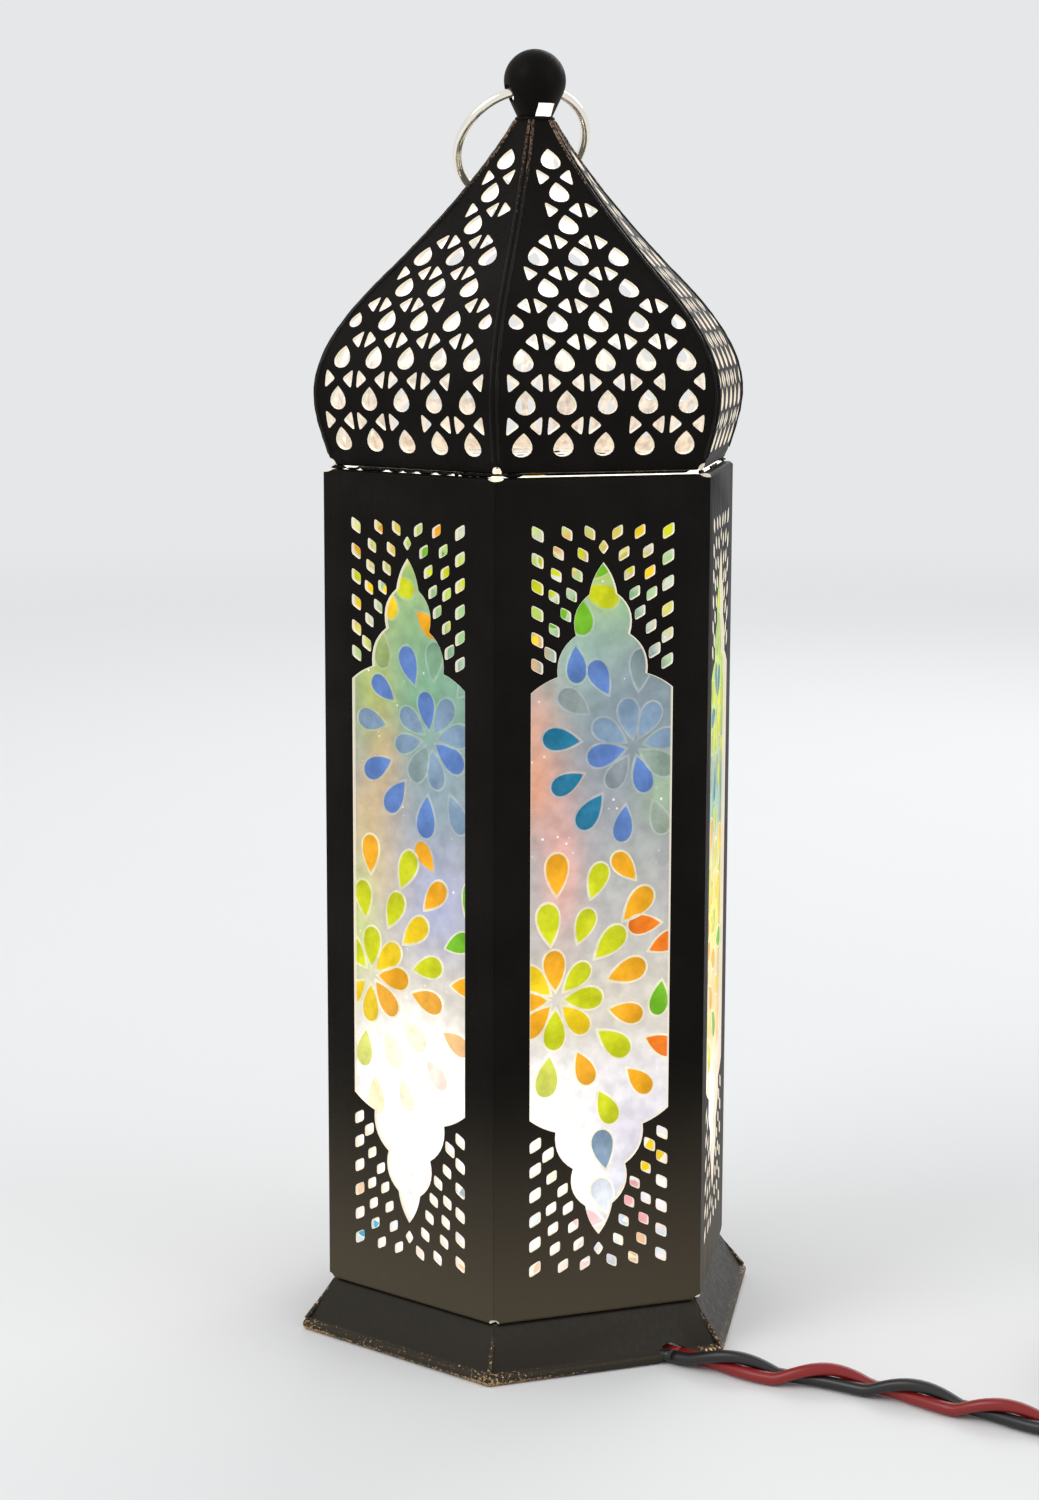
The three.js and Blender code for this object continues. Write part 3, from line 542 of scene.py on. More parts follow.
def addNoise(tree, place, scale, detail=2, rough=0.5):
    cloud = tree.nodes.new("ShaderNodeTexNoise")
    for source, name in ((place, "Vector"), (scale, "Scale"), (detail, "Detail"), (rough, "Roughness")):
        feed(tree, source, cloud.inputs[name])
    return cloud.outputs["Fac"]


def addAttribute(tree, name, output):
    own = tree.nodes.new("ShaderNodeAttribute")
    own.attribute_name = name
    return own.outputs[output]


def addPlace(tree):
    return tree.nodes.new("ShaderNodeTexCoord").outputs["Object"]


def addHeight(tree):
    apart = tree.nodes.new("ShaderNodeSeparateXYZ")
    tree.links.new(addPlace(tree), apart.inputs["Vector"])
    return apart.outputs["Z"]


# Darkens and lightens a colour by a noise mask
def addBlotches(tree, colour, mask, low, high):
    spread = addRange(tree, mask, 0.35, 0.65, low, high)
    return addMix(tree, 1, colour, spread, "MULTIPLY")


# Large soft patches, fine grain and stretched scratches, used by every finish
def buildSurfaceGroup():
    group = bpy.data.node_groups.new("surfacePatches", "ShaderNodeTree")
    for name, value in (("Patch Scale", 60.0), ("Grain Scale", 900.0), ("Scratch Scale", 140.0)):
        socket = group.interface.new_socket(name, in_out="INPUT", socket_type="NodeSocketFloat")
        socket.default_value = value
    for name in ("Patches", "Grain", "Scratches"):
        group.interface.new_socket(name, in_out="OUTPUT", socket_type="NodeSocketFloat")
    entry, leave = group.nodes.new("NodeGroupInput"), group.nodes.new("NodeGroupOutput")
    place = addPlace(group)
    stretch = group.nodes.new("ShaderNodeMapping")
    stretch.inputs["Scale"].default_value = (9, 9, 0.6)
    stretch.inputs["Rotation"].default_value = (0.2, 0.1, 0)
    group.links.new(place, stretch.inputs["Vector"])
    clouds = {
        "Patches": addNoise(group, place, entry.outputs["Patch Scale"], 5, 0.6),
        "Grain": addNoise(group, place, entry.outputs["Grain Scale"]),
        "Scratches": addNoise(group, stretch.outputs["Vector"], entry.outputs["Scratch Scale"], 3),
    }
    for name, cloud in clouds.items():
        group.links.new(cloud, leave.inputs[name])
    return group


surfaceGroup = buildSurfaceGroup()


def addSurface(tree, patch, grain, scratch=140):
    surface = tree.nodes.new("ShaderNodeGroup")
    surface.node_tree = surfaceGroup
    for name, scale in (("Patch Scale", patch), ("Grain Scale", grain), ("Scratch Scale", scratch)):
        surface.inputs[name].default_value = scale
    return surface.outputs


def addBump(tree, shader, height, distance, strength):
    bump = tree.nodes.new("ShaderNodeBump")
    bump.inputs["Strength"].default_value = strength
    bump.inputs["Distance"].default_value = distance
    tree.links.new(height, bump.inputs["Height"])
    tree.links.new(bump.outputs["Normal"], shader.inputs["Normal"])


paint = {
    "patches": (38, 1500),              # scales of the patches and of the grain
    "dustAndSheenTop": 0.075,                   # metres above the ground
    "chipScale": 1500,
    "wornShare": 0.30,                  # how far a worn place helps the chips
    "chipEdge": (0.72, 0.80),
}


# Satin paint, browner low down with dust and a painted sheen of light reflected from the floor; worn shows
# bare metal in chips, where the piece's own mask allows
def paintMaterial(name, dark, pale, dustAndSheen, worn=None, roughLow=0.40, roughHigh=0.60, shine=0.07):
    material, tree, shader = newMaterial(name)
    surface = addSurface(tree, *paint["patches"])
    drift = addRange(tree, surface["Patches"], 0.35, 0.7, smooth=True)
    colour = addMix(tree, drift, dark, pale)
    # Browner towards the floor: dust, together with a painted sheen of light reflected from the floor
    fall = addRange(tree, addHeight(tree), paint["dustAndSheenTop"], 0, smooth=True)
    colour = addMix(tree, fall, colour, dustAndSheen)
    if worn:
        chips = addNoise(tree, addPlace(tree), paint["chipScale"], 5, 0.7)
        mask = addAttribute(tree, "worn", "Fac")
        level = addMath(tree, "MULTIPLY_ADD", mask, paint["wornShare"], chips)
        bare = addRange(tree, level, *paint["chipEdge"], smooth=True)
        colour = addMix(tree, bare, colour, worn)
        tree.links.new(bare, shader.inputs["Metallic"])
    tree.links.new(colour, shader.inputs["Base Color"])
    rough = addRange(tree, surface["Scratches"], 0.3, 0.7, roughLow, roughHigh)
    tree.links.new(rough, shader.inputs["Roughness"])
    addBump(tree, shader, surface["Grain"], 0.05 * mm, 0.5)
    setShader(shader, Specular_IOR_Level=shine)
    return material


# The colour drifts between two tones. Gloss and relief each follow the patches, the grain or the scratches.
def solidMaterial(name, colour, shade, scales, gloss, relief):
    material, tree, shader = newMaterial(name)
    surface = addSurface(tree, *scales)
    tree.links.new(addMix(tree, surface["Patches"], shade, colour), shader.inputs["Base Color"])
    pattern, low, high = gloss
    tree.links.new(addRange(tree, surface[pattern], 0.3, 0.7, low, high), shader.inputs["Roughness"])
    pattern, distance, strength = relief
    addBump(tree, shader, surface[pattern], distance, strength)
    return material, shader


def metalMaterial(name, colour, shade, rough, glow=None):
    gloss, relief = ("Scratches", rough * 0.75, rough * 1.35), ("Scratches", 0.03 * mm, 0.4)
    material, shader = solidMaterial(name, colour, shade, (80, 2200, 160), gloss, relief)
    setShader(shader, Metallic=1.0)
    # Glow, where given, is painted light: an emission standing in for light that falls on the metal
    if glow:
        setShader(shader, Emission_Color=(*glow, 1), Emission_Strength=1.0)
    return material


def plasticMaterial(name, colour, shade, rough, coat=0.0):
    gloss, relief = ("Patches", rough * 0.8, rough * 1.25), ("Grain", 0.04 * mm, 0.35)
    material, shader = solidMaterial(name, colour, shade, (90, 1800), gloss, relief)
    setShader(shader, Coat_Weight=coat, Coat_Roughness=0.15)
    return material


# Bare metal on the inside, lit by the lamp: that light is painted on as a glow whose colour changes with
# height
litInside = {
    "top": 0.30,                        # metres, the last of the heights
    "stops": [                          # height in metres, colour
        (0.0, (1.0, 0.90, 0.74)), (0.015, (0.95, 0.74, 0.46)), (0.030, (0.50, 0.42, 0.33)),
        (bodyTop - 0.5 * mm, (0.50, 0.42, 0.33)), (bodyTop - 0.2 * mm, (1.0, 0.96, 0.93)),
        (domeBottom + 0.2 * mm, (1.0, 0.96, 0.93)), (domeBottom + 0.5 * mm, (0.46, 0.38, 0.29)),
        (0.2205, (0.50, 0.45, 0.40)), (0.234, (0.82, 0.77, 0.76)), (0.246, (1.0, 0.93, 0.96)),
        (0.30, (1.0, 0.96, 1.0)),
    ],
    "strength": 1.05,
    "cloud": (0.62, 1.05),              # share of the glow in the duller and the brighter patches
}


def litInsideMaterial():
    material, tree, shader = newMaterial("litTin")
    rise = addRange(tree, addHeight(tree), 0, litInside["top"])
    stops = [(height / litInside["top"], colour) for height, colour in litInside["stops"]]
    glow = addRamp(tree, rise, stops)
    surface = addSurface(tree, 420, 1400)
    cloud = addRange(tree, surface["Patches"], 0.35, 0.65, *litInside["cloud"])
    shaded = addMix(tree, cloud, (0, 0, 0), glow)
    for name in ("Emission Color", "Base Color"):
        tree.links.new(shaded, shader.inputs[name])
    addBump(tree, shader, surface["Grain"], 0.05 * mm, 0.4)
    setShader(shader, Emission_Strength=litInside["strength"], Metallic=0.3, Roughness=0.45)
    return material


# The third colour of each paint is its dust and painted floor sheen low down
blackPaint = paintMaterial(
    "blackBrownPaint", (0.003, 0.0024, 0.0016), (0.007, 0.0055, 0.004), (0.080, 0.064, 0.042))
footPaint = paintMaterial(
    "footPaint", (0.005, 0.004, 0.003), (0.022, 0.017, 0.011), (0.022, 0.018, 0.012),
    roughLow=0.26, roughHigh=0.48, shine=0.16)
wornPaint = paintMaterial(
    "wornEdgePaint", (0.005, 0.004, 0.003), (0.014, 0.010, 0.007), (0.034, 0.027, 0.018),
    worn=(0.60, 0.40, 0.20), roughLow=0.28, roughHigh=0.46, shine=0.14)
# The seam's bare metal stands for wear and for a painted bronze reflection near the top
seamPaint = paintMaterial(
    "seamWearAndPaintedGlint", (0.004, 0.003, 0.002), (0.012, 0.009, 0.006), (0.034, 0.027, 0.018),
    worn=(0.20, 0.125, 0.080), roughLow=0.30, roughHigh=0.46, shine=0.12)
litTin = litInsideMaterial()
# Cut edges carry a painted glow: emission in place of the lamp's light from the glass falling on them
glowingCutEdge = metalMaterial("cutSheetEdgePaintedGlow", (0.62, 0.55, 0.45), (0.34, 0.28, 0.22), 0.38, glow=(0.52, 0.49, 0.42))
dullEdge = metalMaterial("dullSheetEdge", (0.30, 0.25, 0.20), (0.14, 0.11, 0.09), 0.45)
# The ring's faint glow is a painted highlight
glowingRingSteel = metalMaterial("polishedWirePaintedGlow", (0.93, 0.90, 0.83), (0.74, 0.70, 0.62), 0.14,
                          glow=(0.08, 0.075, 0.06))
plainSteel = metalMaterial("zincPlate", (0.58, 0.57, 0.55), (0.42, 0.41, 0.40), 0.38)
pinBrass = metalMaterial("turnedBrass", (0.75, 0.58, 0.28), (0.60, 0.44, 0.20), 0.28)
holderBlack = plasticMaterial("mouldedHolder", (0.035, 0.030, 0.026), (0.022, 0.019, 0.016), 0.38, coat=0.3)
strandRed = plasticMaterial("redInsulation", (0.30, 0.007, 0.007), (0.20, 0.004, 0.004), 0.34, coat=0.1)
strandBlack = plasticMaterial("blackInsulation", (0.012, 0.011, 0.012), (0.006, 0.006, 0.007), 0.36, coat=0.1)
plugBlack = plasticMaterial("mouldedPlug", (0.030, 0.030, 0.031), (0.018, 0.018, 0.019), 0.46)


pane = {
    "glow": 1.0,                        # strength of the light that the glass lets through
    "reflect": 0.04,                    # share of the colour that also takes the light of the room
    "unlit": (0.01, 0.01, 0.01),
    "roughness": 0.30,
    "columns": 18,
    "rows": 72,
    "byHeight": [                       # millimetres above the ground, colour
        (14, (0.96, 0.80, 0.76)), (30, (0.98, 0.78, 0.80)), (46, (1.0, 0.94, 0.92)), (64, (0.94, 0.90, 0.90)),
        (86, (0.74, 0.68, 0.58)), (106, (0.54, 0.52, 0.50)), (128, (0.37, 0.38, 0.41)),
        (156, (0.26, 0.34, 0.36)), (176, (0.32, 0.46, 0.30)), (197, (0.50, 0.62, 0.14)),
    ],
    "washes": [                         # on each side: across, height, reach across and up, colour, share
        [(-2, 189, 8, 9, (0.50, 0.68, 0.04), 0.9), (0, 174, 18, 12, (0.34, 0.54, 0.20), 0.8),
         (2, 156, 24, 16, (0.20, 0.45, 0.25), 0.85), (-12, 158, 8, 18, (0.52, 0.58, 0.10), 0.75),
         (-8, 140, 6, 12, (0.80, 0.46, 0.18), 0.55), (-13, 126, 8, 12, (0.84, 0.56, 0.22), 0.6),
         (9, 133, 12, 14, (0.24, 0.40, 0.46), 0.6), (8, 108, 12, 14, (0.42, 0.47, 0.80), 0.6),
         (-10, 112, 8, 12, (0.84, 0.62, 0.30), 0.5), (-16, 100, 6, 18, (0.62, 0.76, 0.12), 0.6),
         (0, 20, 9, 7, (0.10, 0.55, 0.80), 0.45)],
        [(3, 190, 7, 8, (0.88, 0.56, 0.03), 0.85), (-2, 180, 8, 7, (0.48, 0.68, 0.03), 0.85),
         (8, 181, 5, 7, (0.08, 0.50, 0.18), 0.7), (-5, 167, 12, 13, (0.36, 0.54, 0.44), 0.85),
         (-16, 150, 7, 12, (0.84, 0.42, 0.28), 0.75), (-16, 136, 8, 12, (0.95, 0.38, 0.18), 0.7),
         (-9, 117, 5, 16, (0.98, 0.44, 0.34), 0.75), (8, 150, 14, 18, (0.23, 0.29, 0.35), 0.8),
         (15, 134, 6, 10, (0.36, 0.58, 0.26), 0.55), (6, 118, 8, 10, (0.48, 0.50, 0.44), 0.5),
         (9, 54, 10, 11, (0.74, 0.70, 0.84), 0.7), (8, 38, 8, 9, (0.60, 0.72, 0.95), 0.7),
         (1, 23, 8, 8, (0.98, 0.52, 0.52), 0.75)],
        [(0, 184, 40, 20, (0.40, 0.72, 0.02), 0.9), (0, 152, 40, 18, (0.62, 0.80, 0.03), 0.9),
         (0, 125, 40, 9, (0.20, 0.52, 0.42), 0.8), (0, 100, 40, 17, (0.95, 0.82, 0.03), 0.9),
         (0, 70, 40, 14, (1.0, 0.62, 0.06), 0.8), (6, 30, 12, 12, (0.95, 0.60, 0.66), 0.6)],
    ],
    "lamp": [                           # where the lamp shows brightest on each side, in the same order
        [(1, 50, 21, 21), (2, 70, 15, 12), (0, 33, 10, 12)],
        [(-15, 53, 12, 17), (-9, 38, 9, 13)],
        [(0, 46, 16, 14)],
    ],
    "white": (1.35, 1.26, 1.16),
    "cell": (5.2, 5.6),                 # patches of colour behind the small holes, across and up
    "windowTips": (198, 20),            # heights beyond which all of the pane lies behind small holes
    "besideTip": (2.15, 2),             # millimetres up for each one across, and at the middle
    "patchShare": 0.7,
    "patches": [                        # in the lower part of the window and in the upper
        [(1.1, 1.05, 1.02), (1.1, 1.05, 1.02), (1.1, 1.0, 0.98), (1.0, 0.72, 0.66), (0.98, 0.80, 0.58),
         (0.45, 0.80, 0.95)],
        [(0.80, 0.84, 0.74), (0.80, 0.84, 0.74), (0.60, 0.82, 0.05), (0.92, 0.82, 0.10), (0.45, 0.75, 0.30),
         (0.95, 0.95, 0.90), (0.95, 0.42, 0.05)],
    ],
}


def blend(a, b, share):
    return tuple(x + (y - x) * share for x, y in zip(a, b))


def bell(across, height, spot):
    u, z, wide, tall = spot[:4]
    return math.exp(-((across - u) / wide) ** 2 * 1.2 - ((height - z) / tall) ** 2 * 1.2)


def lampGlow(side, across, height):
    return min(1, sum(bell(across, height, spot) for spot in pane["lamp"][(side - 1) % 3]) * 1.3)


# Millimetres across and up the pane, to the colour of the light that comes through it
def glassColour(side, across, height):
    stops = pane["byHeight"]
    low, high = stops[0], stops[-1]
    for a, b in zip(stops, stops[1:]):
        if a[0] <= height <= b[0]:
            low, high = a, b
    colour = blend(low[1], high[1], ease(clamp((height - low[0]) / (high[0] - low[0]))))
    for wash in pane["washes"][(side - 1) % 3]:
        colour = blend(colour, wash[4], wash[5] * bell(across, height, wash))
    wide, tall = pane["cell"]
    column, row = round(across / wide), round(height / tall)
    slope, start = pane["besideTip"]
    besideTip = min(abs(height - tip) for tip in pane["windowTips"]) < abs(across) * slope + start
    if column != 0 and besideTip:
        patch = random.Random(side * 997 + column * 31 + row).choice(pane["patches"][height > 100])
        colour = blend(colour, patch, pane["patchShare"])
    return blend(colour, pane["white"], lampGlow(side, across, height))


# Most of the colour is the lamp's light behind the glass, and a little of it takes the light of the room
def lightFromBehind(tree, shader, colour, shine):
    tree.links.new(colour, shader.inputs["Emission Color"])
    tree.links.new(addMix(tree, pane["reflect"], pane["unlit"], colour), shader.inputs["Base Color"])
    setShader(shader, Roughness=pane["roughness"], Emission_Strength=pane["glow"], Specular_IOR_Level=shine)


# Frosted glass: washes of colour painted on its corners, with fine clouds and tiny bubbles that show as
# painted white sparkles
def glassMaterial():
    material, tree, shader = newMaterial("washedGlass")
    place = addPlace(tree)
    cloud = addRange(tree, addNoise(tree, place, 90, 4), 0.3, 0.7, 0, 0.06)
    colour = addMix(tree, cloud, addAttribute(tree, "glassColour", "Color"), (0.85, 0.88, 0.90))
    bubbleSparkles = tree.nodes.new("ShaderNodeTexVoronoi")
    bubbleSparkles.inputs["Scale"].default_value = 420
    tree.links.new(place, bubbleSparkles.inputs["Vector"])
    # Bubbles show as painted white sparkles
    specks = addRange(tree, bubbleSparkles.outputs["Distance"], 0.10, 0.16, 1, 0, smooth=True)
    rare = addRange(tree, addNoise(tree, place, 130), 0.54, 0.62, 0, 0.85, smooth=True)
    colour = addMix(tree, addMath(tree, "MULTIPLY", specks, rare), colour, (1, 1, 1))
    ripple = addNoise(tree, place, 260, 4)
    colour = addBlotches(tree, colour, ripple, 0.84, 1.06)
    lightFromBehind(tree, shader, colour, 0.05)
    addBump(tree, shader, ripple, 0.12 * mm, 0.35)
    return material


# Translucent glass paint: the colour of each petal is in its corners
def petalMaterial():
    material, tree, shader = newMaterial("petalEnamel")
    surface = addSurface(tree, 240, 1600)
    cloud = addRange(tree, surface["Patches"], 0.35, 0.7, 0, 0.02)
    colour = addMix(tree, cloud, addAttribute(tree, "petalColour", "Color"), (1, 1, 0.9))
    colour = addBlotches(tree, colour, surface["Patches"], 0.80, 1.08)
    lightFromBehind(tree, shader, colour, 0.04)
    addBump(tree, shader, surface["Grain"], 0.04 * mm, 0.3)
    return material


def bulbMaterial():
    material, tree, shader = newMaterial("opalBulb")
    surface = addSurface(tree, 70, 900)
    glow = addMix(tree, surface["Patches"], (1.0, 0.90, 0.74), (1.0, 0.97, 0.90))
    for name in ("Emission Color", "Base Color"):
        tree.links.new(glow, shader.inputs[name])
    setShader(shader, Roughness=0.25, Emission_Strength=6.0)
    return material


washedGlass = glassMaterial()
petalEnamel = petalMaterial()
opalBulb = bulbMaterial()
print("materials mixed")


def dress(piece, body, slotName, *materials):
    piece.data.materials.clear()
    addMaterials(piece, *materials)
    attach(piece, body)


for piece in (flexPair, leadPair):
    indices = [face.material_index for face in piece.data.polygons]
    dress(piece, "lantern_body", "cord_plastic", strandRed, strandBlack)
    for face, index in zip(piece.data.polygons, indices):
        face.material_index = index


# Punch tools

def offsetOutline(points, distance):
    moved = []
    for k, point in enumerate(points):
        before, after = Vector(points[k - 1]), Vector(points[(k + 1) % len(points)])
        first = (Vector(point) - before).normalized()
        second = (after - Vector(point)).normalized()
        normal = Vector((first.y + second.y, -first.x - second.x))
        normal = normal.normalized() / max((1 + first.dot(second)) / 2, 0.25) ** 0.5
        moved.append(Vector(point) + normal * distance)
    return moved


def isAnticlockwise(points):
    return sum(a[0] * b[1] - b[0] * a[1] for a, b in zip(points, points[1:] + points[:1])) > 0


# The tool stands through the sheet along +Z. It widens just under the face, to break the edge of the hole.
def punchTool(name, outline, depth, broken):
    outline = outline if isAnticlockwise(outline) else outline[::-1]
    above = 1.2 * mm                    # how far the tool stands out of the sheet
    wide = offsetOutline(outline, above + broken)
    piece = outlinePiece(name, [(x, y, -depth) for x, y in outline])
    extrudeBy(piece, (0, 0, depth - broken))
    selectFaces(piece, lambda face: face.normal.z > 0.9)
    bpy.ops.mesh.extrude_region_move(TRANSFORM_OT_translate={"value": (0, 0, above + broken)})
    backToObject()
    for corner in piece.data.vertices:
        if corner.co.z > above / 2:
            nearest = min(range(len(outline)), key=lambda k: (Vector(outline[k]) - corner.co.to_2d()).length)
            corner.co.x, corner.co.y = wide[nearest]
    editAll(piece)
    finishOutwards()
    addMaterials(piece, glowingCutEdge)
    return piece


# Local X of a tool lies across the face, local Y up the sheet and local Z out of it.
def seatOn(out, across, height, lean=0.0):
    sideways = Vector((0, 1, 0))
    up = Vector((-math.sin(lean), 0, math.cos(lean)))
    return axesAt(sideways, up, sideways.cross(up), Vector((out, across, height)))


def roundedOutline(corners, share=0.22):
    points = []
    for k, corner in enumerate(corners):
        here, before, after = Vector(corner), Vector(corners[k - 1]), Vector(corners[(k + 1) % len(corners)])
        start, end = here.lerp(before, share), here.lerp(after, share)
        points += [start, (start + end) / 4 + here / 2, end]
    return [tuple(point) for point in points]


# Body panels

window = {
    "halfHeight": 77.2 * mm,
    "cusps": [(3.2, 6.9, 0.55), (6.3, 16.0, 1.75), (10.6, 25.1, 1.6), (16.9, 28.4, 0.35)],
    "steps": 7,
    "broken": 0.14 * mm,                # broken edge of each hole
    "depth": 3 * mm,
}

diamonds = {
    "topRow": 84.0 * mm,                # above the middle of the window
    "runs": [                           # across, down, step across, step down, count
        (15.6, 0, 0, 5.84, 6), (10.7, 4.3, 0.5, 4.8, 3), (11.6, 21.3, 0.9, 5.4, 2),
        (4.9, 4.8, 1.33, 4.4, 4), (3.3, 0, 5.4, 0, 2),
    ],
    "middle": (0, 3.2),
    "half": (1.25, 1.2, 0.65),          # half width, half side, slant of the ends
    "innerScale": 0.9,                  # size of those near the middle
    "innerTo": 12,
}

panel = {
    "mitreGap": 0.015 * mm,
    "bend": 0.9 * mm,
    "sideBend": 0.22 * mm,
    "topFold": 6.0 * mm,
    "litBehind": bodyFlat - 2.2 * mm,   # the lamp lights the top fold from here inwards
    "cornerNotch": (2.3 * mm, 0.7 * mm),
    "footNotch": (1.5 * mm, 1.3 * mm),
    "notchProud": 0.01 * mm,
}

# Four to a pane: soldered to the panel, and bent over the edge of the pane
clip = {
    "edge": 21.7 * mm,                  # from the middle of the pane
    "thick": 0.6 * mm,
    "reach": 3.6 * mm,
    "foot": 2.2 * mm,
    "width": 8 * mm,
    "fromEnd": 30 * mm,
    "behindPane": 0.3 * mm,
    "intoSheet": 0.1 * mm,
}

windowMiddle = (bodyBottom + bodyTop) / 2


def windowOutline():
    quarter = [Vector((0, window["halfHeight"]))]
    for across, down, bulge in window["cusps"]:
        start, end = quarter[-1], Vector((across * mm, window["halfHeight"] - down * mm))
        along = (end - start).normalized()
        handle = (start + end) / 2 + Vector((-along.y, along.x)) * 2 * bulge * mm
        for k in range(1, window["steps"] + 1):
            quarter.append(quadratic(start, handle, end, k / window["steps"]))
    points = [(p.x, p.y) for p in quarter]
    back = points[::-1]
    return (points + [(x, -y) for x, y in back] + [(-x, -y) for x, y in points[1:]]
            + [(-x, y) for x, y in back[:-1]])


def diamondPlaces():
    places = [(0, diamonds["middle"][1], 0)]
    for across, down, stepAcross, stepDown, count in diamonds["runs"]:
        for k in range(count):
            for side in (-1, 1):
                places.append((side * (across + k * stepAcross), down + k * stepDown, side))
    return places


def diamondOutline(side, scale):
    w, a, b = [size * mm * scale for size in diamonds["half"]]
    if side == 0:
        return roundedOutline([(w, 0), (0, a + b * 0.8), (-w, 0), (0, -a - b * 0.8)])
    corners = [(-w, a + b), (w, a - b), (w, -a - b), (-w, -a + b)]
    return roundedOutline([(-side * x, y) for x, y in corners])


def panelTools():
    depth, broken = window["depth"], window["broken"]
    opening = punchTool("window_tool", windowOutline(), depth, broken)
    opening.data.transform(seatOn(bodyFlat, 0, windowMiddle))
    tools = [opening]
    for side in (-1, 0, 1):
        master = punchTool("diamond_tool", diamondOutline(side, 1), depth, broken)
        for across, down, which in diamondPlaces():
            if which != side:
                continue
            inner = diamonds["innerScale"] if abs(across) < diamonds["innerTo"] else 1
            for end in (-1, 1):
                height = windowMiddle + end * (diamonds["topRow"] - down * mm)
                place = seatOn(bodyFlat, across * mm, height) @ Matrix.Diagonal((inner, end * inner, 1, 1))
                tools.append(copyOf(master, "diamond_tool_copy", place))
        removePiece(master)
    return joinPieces(tools, "panel_tools")


# Small corners left open where two folds meet: above the level where end is 1, and below it where end is -1
def cornerTools(edge, level, notch, end):
    low, high = 30 * mm, 60 * mm        # how far from the axis the tool begins and ends
    width, rise = notch
    tools = []
    for side in (-1, 1):
        arc = [(edge * 1.02, level), (edge - width, level)]
        for k in range(1, 5):
            a = math.pi / 2 * k / 4
            arc.append((edge - width * math.cos(a), level + end * rise * math.sin(a)))
        arc.append((edge * 1.02, level + end * rise))
        tool = outlinePiece("corner_tool", [(low, side * y, z) for y, z in arc])
        extrudeBy(tool, (high - low, 0, 0))
        addMaterials(tool, glowingCutEdge)
        tools.append(tool)
    return tools


def clipPiece(side, height):
    edge, back = clip["edge"], paneLow.x - clip["behindPane"]
    solder = bodyFlat - sheetThickness + clip["intoSheet"]
    tip, outer, thick = edge - clip["reach"], edge + clip["foot"], clip["thick"]
    section = [
        (tip, back), (tip, back - thick), (edge + thick, back - thick), (edge + thick, solder - thick),
        (outer, solder - thick), (outer, solder), (edge, solder), (edge, back),
    ]
    piece = outlinePiece("clip", [(x, side * y, height - clip["width"] / 2) for y, x in section])
    extrudeBy(piece, (0, 0, clip["width"]))
    addMaterials(piece, plainSteel)
    return piece


# Paint everywhere but on the level faces of the folds, which the lamp lights. Cut edges keep their material.
def sortPanelFaces(piece):
    painted, lit, edge = 0, 1, 2
    for face in piece.data.polygons:
        if face.material_index == edge:
            continue
        level = abs(face.normal.z) > 0.5 if face.center.z > windowMiddle else face.normal.z > 0.5
        face.material_index = lit if level and face.center.x < panel["litBehind"] else painted


def makePanel():
    t = sheetThickness
    section = [
        (foldEdge, bodyBottom), (bodyFlat, bodyBottom), (bodyFlat, bodyTop),
        (bodyFlat - panel["topFold"], bodyTop), (bodyFlat - panel["topFold"], bodyTop - t),
        (bodyFlat - t, bodyTop - t), (bodyFlat - t, bodyBottom + t), (foldEdge, bodyBottom + t),
    ]
    piece = mitredPiece("panel_master", section, panel["mitreGap"])
    onFace = lambda a, b: abs(a.x - bodyFlat) < tiny and abs(b.x - bodyFlat) < tiny
    bevelEdges(piece, lambda a, b: onFace(a, b) and abs(a.z - b.z) < tiny, panel["bend"], 4)
    upright = lambda a, b: onFace(a, b) and abs(a.y - b.y) < tiny and abs(a.z - b.z) > 0.1
    bevelEdges(piece, upright, panel["sideBend"], 2)
    addMaterials(piece, blackPaint, litTin, glowingCutEdge)
    cutWith(piece, panelTools())
    edge = bodyFlat * faceSlope
    tools = cornerTools(edge, bodyTop + panel["notchProud"], panel["cornerNotch"], -1)
    tools += cornerTools(edge, bodyBottom - panel["notchProud"], panel["footNotch"], 1)
    cutWith(piece, joinPieces(tools, "corner_tools"))
    splitAcross(piece, (1, 0, 0), [panel["litBehind"]])
    sortPanelFaces(piece)
    heights = (paneLow.z + clip["fromEnd"], paneHigh.z - clip["fromEnd"])
    clips = [clipPiece(side, height) for side in (-1, 1) for height in heights]
    piece = joinPieces([piece, *clips], "panel_master")
    smoothByAngle(piece, 30)
    return piece


# Copies of the master on all six sides, each in place of its own solid
def copyRound(master, prefix, nodePrefix, body):
    for number in range(1, faceCount + 1):
        piece = copyOf(master, f"{prefix}_{number}", faceTurn(number))
        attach(piece, body)
        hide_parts(f"{nodePrefix}_{number}")
    removePiece(master)


copyRound(makePanel(), "pierced_panel", "body_panel", "lantern_body")
print("body panels punched")


# Dome

